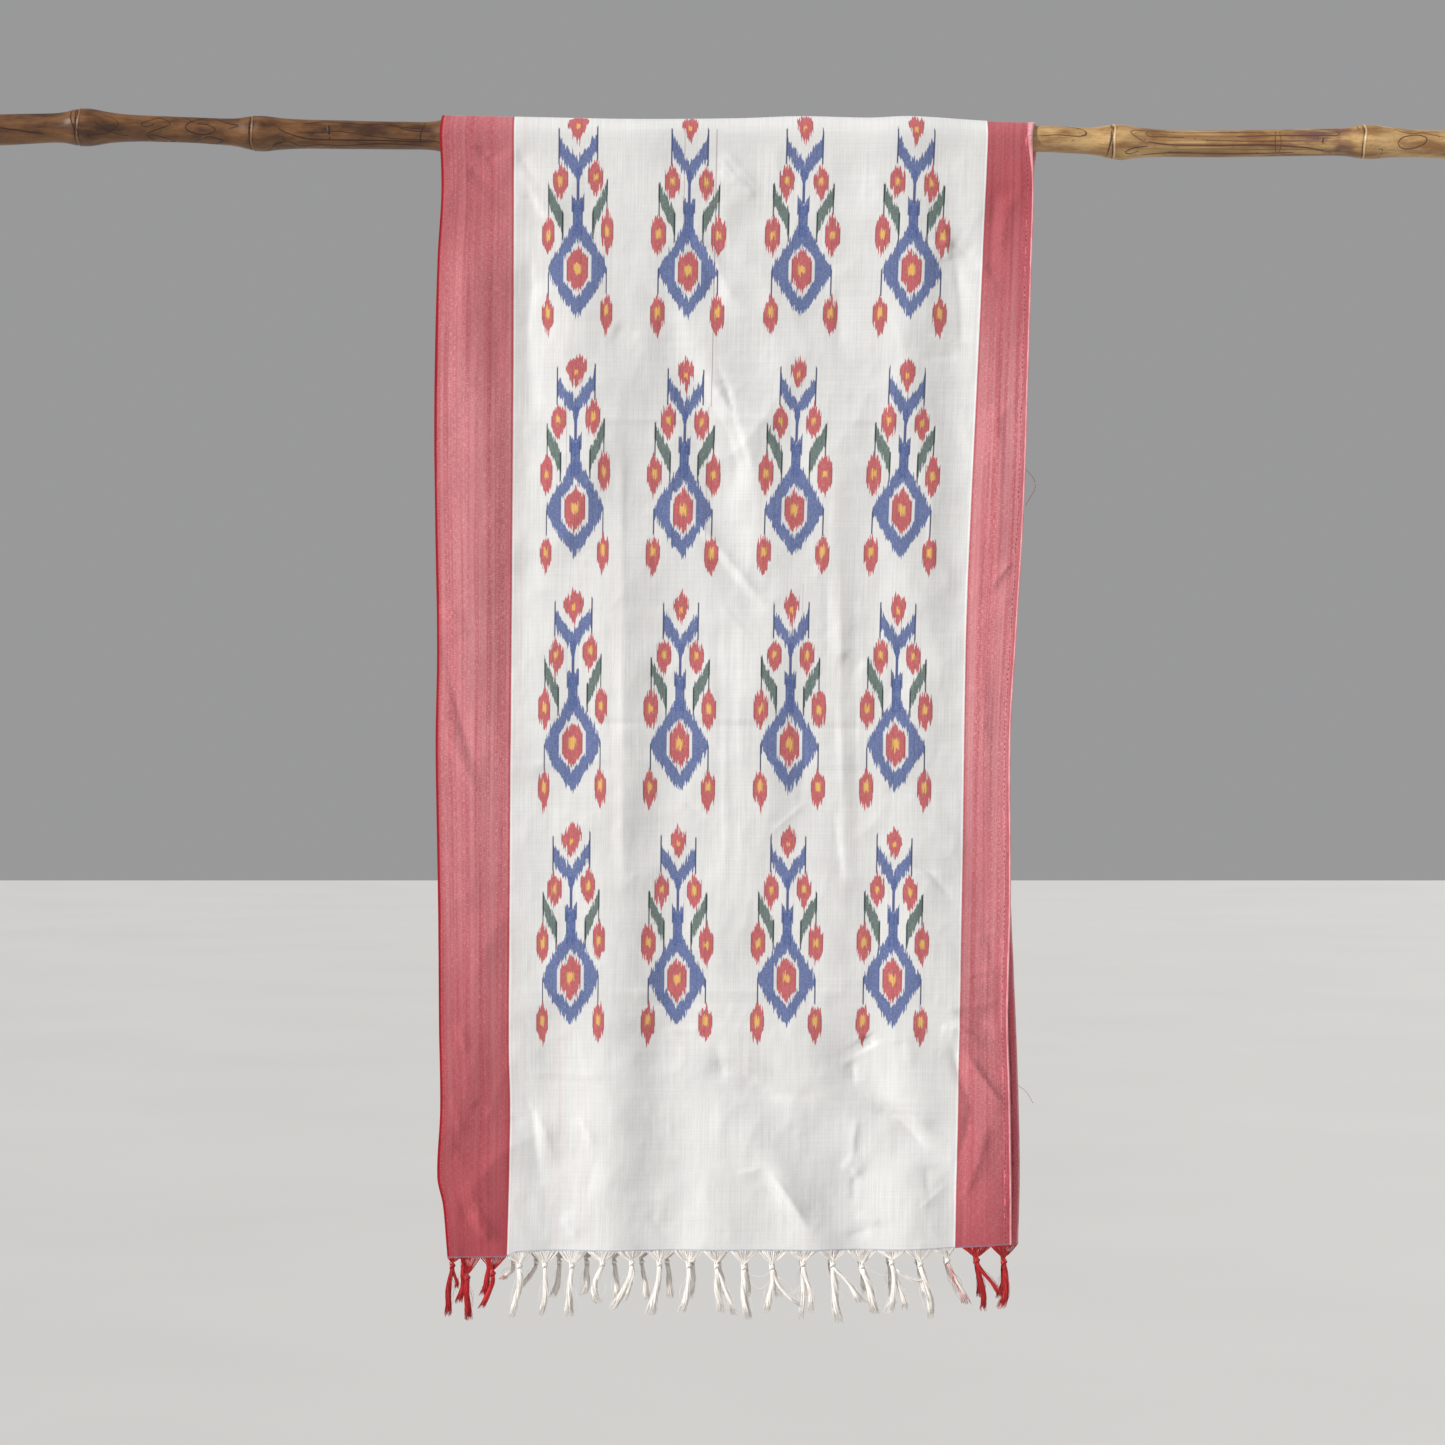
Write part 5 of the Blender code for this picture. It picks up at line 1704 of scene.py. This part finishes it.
def cloth_material():
    """Plain-woven cotton: white field with the motifs, red borders crossed by pale wefts."""
    s = Shade("ikat_cotton", 0.88, Sheen_Weight=0.12, Sheen_Roughness=0.5, Specular_IOR_Level=0.25)
    across, along, _ = s.attribute("flat")
    grain = flat_grain(s, across, along)
    threads, wefts = grain(900.0, 14.0), grain(12.0, 800.0)
    speckle = grain(800.0, 1500.0, roughness=0.65)
    patches = grain(14.0, 7.0, 3.0, 0.55)
    bands, streaks = grain(160.0, 1.2), grain(480.0, 7.0)
    flecks = s.line(grain(260.0, 1500.0), 0.55, s.times(grain(1500.0, 220.0), 0.45))

    pink = s.times(s.remap(bands, 0.56, 0.72), s.line(s.remap(across, 0.16, 0.07), 0.2, 0.05))
    white = s.tint(
        s.mix(s.remap(patches, 0.3, 0.7), linear((229, 229, 227)), linear((221, 221, 220))),
        (s.remap(threads, 0.35, 0.65, 0.0, 0.6), (207, 205, 203)),
        (s.remap(wefts, 0.4, 0.7, 0.0, 0.3), (236, 236, 234)),
        (pink, (222, 160, 160)),
    )

    wander = s.line(s.math("SUBTRACT", patches, 0.5), 0.002, across)
    selvedge = s.remap(wander, 0.0017, 0.0027, 1.0, 0.0)
    selvedge = s.times(selvedge, s.remap(speckle, 0.2, 0.5, 0.7, 1.0))
    dash = s.remap(s.apart(wander, 0.0031), 0.0002, 0.0005, 1.0, 0.0)
    dash = s.times(dash, s.remap(wefts, 0.56, 0.62))
    rose = s.tint(
        s.mix(s.remap(flecks, 0.38, 0.58), linear((182, 86, 94)), linear((213, 134, 139))),
        (s.remap(flecks, 0.53, 0.66, 0.0, 0.7), (232, 190, 190)),
        (s.remap(streaks, 0.45, 0.68, 0.0, 0.6), (172, 74, 86)),
        (s.remap(bands, 0.36, 0.66, 0.0, 0.5), (230, 170, 172)),
        (s.remap(patches, 0.35, 0.75, 0.0, 0.35), (186, 92, 102)),
        # painted shade of the folds and the uneven light on the borders, as a darker red
        *painted_border_shade(s, across, along),
        (s.remap(wander, 0.0025, 0.0060, 0.45, 0.0), (186, 44, 62)),
        (selvedge, (158, 14, 30)),
        (s.times(dash, 0.5), (240, 180, 180)),
    )

    start, end = LEFT_BORDER * MM, (LEFT_BORDER + FIELD) * MM
    within = s.remap(across, end - 0.0003, end + 0.0003, 1.0, 0.0)
    colour = s.mix(s.times(s.remap(across, start - 0.0003, start + 0.0003), within), rose, white)
    for place, width, tone, strength in (
        (start - 0.0012, 0.0010, (166, 48, 62), 0.6),
        (start + 0.0010, 0.0009, (240, 238, 236), 0.7),
        (end - 0.0010, 0.0009, (244, 242, 240), 0.8),
        (end + 0.0012, 0.0008, (172, 58, 70), 0.4),
    ):
        line = s.remap(s.apart(across, place), width * 0.5, width, strength, 0.0)
        colour = s.tint(colour, (line, tone))

    colour = dyed_shapes(s, colour, white, s.remap(flecks, 0.42, 0.64))
    for place, lower, upper, strength in STRAY_WARPS:
        line = s.remap(s.apart(across, place * MM), 0.0003, 0.0006, strength, 0.0)
        line = s.times(line, s.between(along, lower * MM, upper * MM))
        colour = s.tint(colour, (line, (120, 80, 92)))
    turned = s.remap(across, (CLOTH_WIDTH - HEM_WIDTH) * MM, (CLOTH_WIDTH - HEM_WIDTH + 0.8) * MM)
    near_end = s.remap(along, 0.0007, 0.0016, 1.0, 0.0)
    far_end = s.remap(along, (FAR_HEM - 1.6) * MM, (FAR_HEM - 0.7) * MM)
    last_wefts = s.times(s.math("MAXIMUM", near_end, far_end), 0.6)
    colour = s.tint(colour, (s.times(turned, 0.4), (166, 58, 74)), (last_wefts, (122, 130, 158)))

    over = s.math("SINE", s.times(across, 2 * math.pi / WEAVE[0]))
    under = s.math("SINE", s.times(along, 2 * math.pi / WEAVE[1]))
    height = s.line(s.times(over, under), 0.10, speckle)
    height = s.line(grain(60.0, 45.0, 3.0, 0.55), 3.6, height)
    height = s.line(wefts, 0.5, height)
    return s.finish(colour, height, 0.3, 0.0005)


def hem_material():
    """Rose cotton folded over: pale in patches along the rim, deeper beside it."""
    s = Shade("turned_cotton", 0.88, Sheen_Weight=0.12, Specular_IOR_Level=0.25)
    across, along, _ = s.attribute("flat")
    grain = flat_grain(s, across, along)
    speckle, slow = grain(1100.0, 700.0), grain(200.0, 45.0, roughness=0.5)
    rose = s.mix(s.remap(speckle, 0.35, 0.65), linear((188, 72, 86)), linear((220, 134, 142)))
    rim = s.remap(across, (CLOTH_WIDTH - 1.6) * MM, (CLOTH_WIDTH - 0.5) * MM)
    # A paler tone on the rim, in patches along the hem.
    patchy = s.times(rim, s.remap(slow, 0.3, 0.6, 0.35, 0.85))
    return s.finish(s.tint(rose, (patchy, (238, 188, 190))), speckle, 0.4, 0.0004)


def yarn_material():
    """Soft cotton yarn, white or red by its dye, each yarn a little different."""
    s = Shade("fringe_cotton", 0.8, Sheen_Weight=0.2, Specular_IOR_Level=0.3)
    dye, shade, _ = s.attribute("look")
    fuzz = s.noise(s.place(), 2.0, 0.6, 1400.0)
    white = s.mix(shade, linear((253, 250, 246)), linear((240, 234, 226)))
    red = s.mix(shade, linear((204, 24, 32)), linear((160, 12, 22)))
    colour = s.mix(dye, white, red)
    colour = s.tint(colour, (s.remap(fuzz, 0.45, 0.7, 0.0, 0.25), (250, 240, 235)))
    colour = s.mix(s.times(dye, 0.8), colour, red)
    return s.finish(colour, fuzz, 0.35, 0.0002)


def thread_material(name, tone, other):
    """Sewing or loose thread, each bit between the two tones."""
    s = Shade(name, 0.75, Sheen_Weight=0.1, Specular_IOR_Level=0.3)
    _, shade, _ = s.attribute("look")
    fuzz = s.noise(s.place(), 2.0, 0.6, 1500.0)
    return s.finish(s.mix(shade, linear(tone), linear(other)), fuzz, 0.3, 0.0002)


def bamboo_material():
    """Mottled bamboo, darker on the left, with burnt lines, pale ridges and dark grooves."""
    s = Shade("mottled_bamboo", 0.42, Specular_IOR_Level=0.45)
    parts = s.nodes.new("ShaderNodeSeparateXYZ")
    s.links.new(s.place(), parts.inputs[0])
    x, y, z = parts.outputs
    burnt, ring, cut = s.attribute("look")

    def grown(along, round_it, shift, detail=3.0):
        """Noise drawn out along the stem."""
        place = s.vector(s.line(x, along, shift), s.times(y, round_it), s.times(z, round_it))
        return s.noise(place, detail, 0.6)

    def stretch(start, full, fading, end):
        return s.times(s.remap(x, start, full), s.remap(x, fading, end, 1.0, 0.0))

    fibres, grain = grown(9.0, 900.0, 0.0), grown(26.0, 420.0, 4.0)
    mottle, streaks = grown(24.0, 75.0, 9.0, 4.0), grown(4.0, 260.0, 61.0)
    speck = grown(260.0, 320.0, 2.0, 2.0)
    right = s.remap(x, -0.30, 0.28)

    def toned(left_tone, right_tone):
        return s.mix(right, linear(left_tone), linear(right_tone))

    dark = toned((68, 41, 25), (142, 102, 62))
    streaky = s.times(stretch(0.37, 0.41, 0.52, 0.57), s.remap(streaks, 0.42, 0.6, 0.1, 0.85))
    bruised = s.times(stretch(0.50, 0.53, 0.555, 0.575), s.remap(mottle, 0.46, 0.6, 0.0, 0.75))
    colour = s.mix(s.remap(mottle, 0.38, 0.64), toned((132, 90, 52), (208, 172, 118)), dark)
    colour = s.tint(
        s.mix(s.remap(fibres, 0.42, 0.7, 0.0, 0.35), colour, dark),
        (s.remap(grain, 0.56, 0.74, 0.0, 0.35), (92, 52, 34)),
        (streaky, (122, 84, 54)),
        (bruised, (104, 74, 76)),
        (s.remap(speck, 0.66, 0.74, 0.0, 0.5), (70, 44, 28)),
    )
    patchy = s.remap(grain, 0.3, 0.55, 0.65, 1.0)
    colour = s.mix(s.times(burnt, patchy), colour, toned((50, 26, 18), (92, 62, 46)))
    pale = toned((150, 110, 68), (232, 208, 168))
    colour = s.mix(s.remap(ring, 0.25, 0.9, 0.0, 0.6), colour, pale)
    grooved = s.remap(ring, -0.25, -0.8, 0.0, 0.85)
    grooved = s.times(grooved, s.remap(mottle, 0.35, 0.55, 0.45, 1.0))
    colour = s.tint(colour, (grooved, (58, 36, 24)), (cut, (196, 164, 112)))
    height = s.line(burnt, -0.5, s.line(fibres, 0.6, s.times(grain, 0.5)))
    return s.finish(colour, height, 0.35, 0.0006)


def floor_material():
    """Plain pale grey, a little uneven."""
    s = Shade("pale_floor", 0.9, Specular_IOR_Level=0.2)
    soft = s.noise(s.place(), 2.0, 0.5, 1.5)
    return s.finish(s.mix(soft, linear((196, 195, 193)), linear((188, 187, 185))))


def add_floor(material):
    size, level = FLOOR_SIZE, FLOOR_LEVEL
    corners = [(-size, -size, level), (size, -size, level), (size, size, level), (-size, size, level)]
    add_mesh("floor", corners, [(0, 1, 2, 3)], material, smooth=False)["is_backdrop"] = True


def add_sun(name, toward, strength, softness, colour):
    """A large far softbox: its light comes the same way over the whole cloth."""
    data = bpy.data.lights.new(name, "SUN")
    data.energy = strength
    data.angle = math.radians(softness)
    data.color = colour
    item = bpy.data.objects.new(name, data)
    item.rotation_euler = Vector(toward).to_track_quat("-Z", "Y").to_euler()
    bpy.context.scene.collection.objects.link(item)


def add_lights():
    """A warm key from the upper left front, a weak fill, a light from behind, and a grey world."""
    add_sun("key", (0.80, 0.44, -0.46), 3.78, 4.0, (1.0, 0.992, 0.98))
    add_sun("fill", (-0.6, 0.75, -0.2), 0.25, 40.0, (0.97, 0.985, 1.0))
    add_sun("behind", (-0.55, -0.75, -0.35), 2.6, 20.0, (1.0, 0.99, 0.97))
    world = bpy.data.worlds.new("studio")
    world.use_nodes = True
    background = world.node_tree.nodes["Background"]
    background.inputs["Color"].default_value = (0.60, 0.60, 0.61, 1.0)
    background.inputs["Strength"].default_value = 0.53
    bpy.context.scene.world = world


def add_camera():
    """The photograph's view, with its colours shown as they are."""
    data = bpy.data.cameras.new("camera")
    data.lens = LENS
    data.sensor_width = 36.0
    item = bpy.data.objects.new("camera", data)
    item.location = CAMERA_PLACE
    item.rotation_euler = (math.radians(90), 0.0, 0.0)
    bpy.context.scene.collection.objects.link(item)
    bpy.context.scene.camera = item
    bpy.context.scene.view_settings.view_transform = "Standard"


def place_piece(item, slot, *nodes):
    """Fixes a piece to the one body, in place of the solids of these nodes."""
    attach(item, "root")
    if nodes:
        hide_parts(*nodes)
    return item


def place_cloth(cloth, material):
    """The cloth in its four pieces."""
    nodes = {"over": "over_rod", "back": "back_drop"}
    pieces = {}
    for part in FLAT_LENGTHS:
        node = nodes.get(part, "front_drop")
        pieces[part] = place_piece(add_cloth(cloth, part, material), "cloth", node)
    return pieces


def place_hems(cloth, material, thread):
    """The turned hem and its stitches on each stretch of the right edge."""
    hems = {}
    for part in ("front", "over", "back"):
        hem = place_piece(build_hem(cloth, part, material), "turned_hem", "edge_hem_" + part)
        stitches = place_piece(build_stitches(cloth, part, thread), "turned_hem")
        hems[part] = [hem, stitches]
    return hems


def place_fringes(cloth, material):
    """The tassels of both ends, in three groups each: left border, field and right border."""
    fringes = {}
    for end, hem, tassels, borders, extra in (
        ("front", cloth.points[0], FRONT_TASSELS, FRONT_BORDERS, front_extras),
        ("back", cloth.points[-1], back_tassel_rows(), BACK_BORDERS, None),
    ):
        limits = (hem[0, 0], *borders, hem[-1, 0])
        fringes[end] = []
        for group, start, stop in zip(("left", "field", "right"), limits, limits[1:]):
            name = "tassels_" + end + "_" + group
            more = extra if group == "field" else None
            item = build_fringe(name, material, hem, tassels, start, stop, borders, more)
            slot = "white_yarn" if group == "field" else "red_yarn"
            fringes[end].append(place_piece(item, slot, "fringe_" + end + "_" + group))
    return fringes


def build_loose_threads(material):
    """Two threads that hang off the right edge of the front drop."""
    batch = Batch()
    for points, radius in LOOSE_THREADS:
        path = smooth_path(points, 16)[None]
        batch.add_tubes(path, np.full(path.shape[:2], radius), 5, yarn_values(1.0, 1))
    return batch.build("loose_threads", material)


def declare_sheets(hems, fringes, threads, rod):
    """Gathers for each piece of cloth the hems, fringes and threads that go with it; nothing is done
    with them.
    """
    for part, length in FLAT_LENGTHS.items():
        end = {"front_low": "front", "front_high": None}.get(part, part)
        others = hems.get(end, []) + fringes.get(end, [])
        if end == "front":
            others.append(threads)


def main():
    cotton, turned, yarn = cloth_material(), hem_material(), yarn_material()
    stitch_thread = thread_material("stitch_thread", (168, 66, 80), (140, 48, 64))
    loose_thread = thread_material("loose_thread", (150, 60, 66), (120, 50, 56))
    rod = place_piece(build_rod(bamboo_material()), "bamboo", "rod")
    cloth = Cloth()
    pieces = place_cloth(cloth, cotton)
    hems = place_hems(cloth, turned, stitch_thread)
    fringes = place_fringes(cloth, yarn)
    threads = place_piece(build_loose_threads(loose_thread), "turned_hem")
    declare_sheets(hems, fringes, threads, rod)
    add_floor(floor_material())
    add_lights()
    add_camera()


def write_sizes():
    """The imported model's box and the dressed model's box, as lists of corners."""
    boxes = {"cad": cad_box, "visual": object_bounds()}
    sizes = {name: [list(map(float, corner)) for corner in box] for name, box in boxes.items()}


main()
write_sizes()
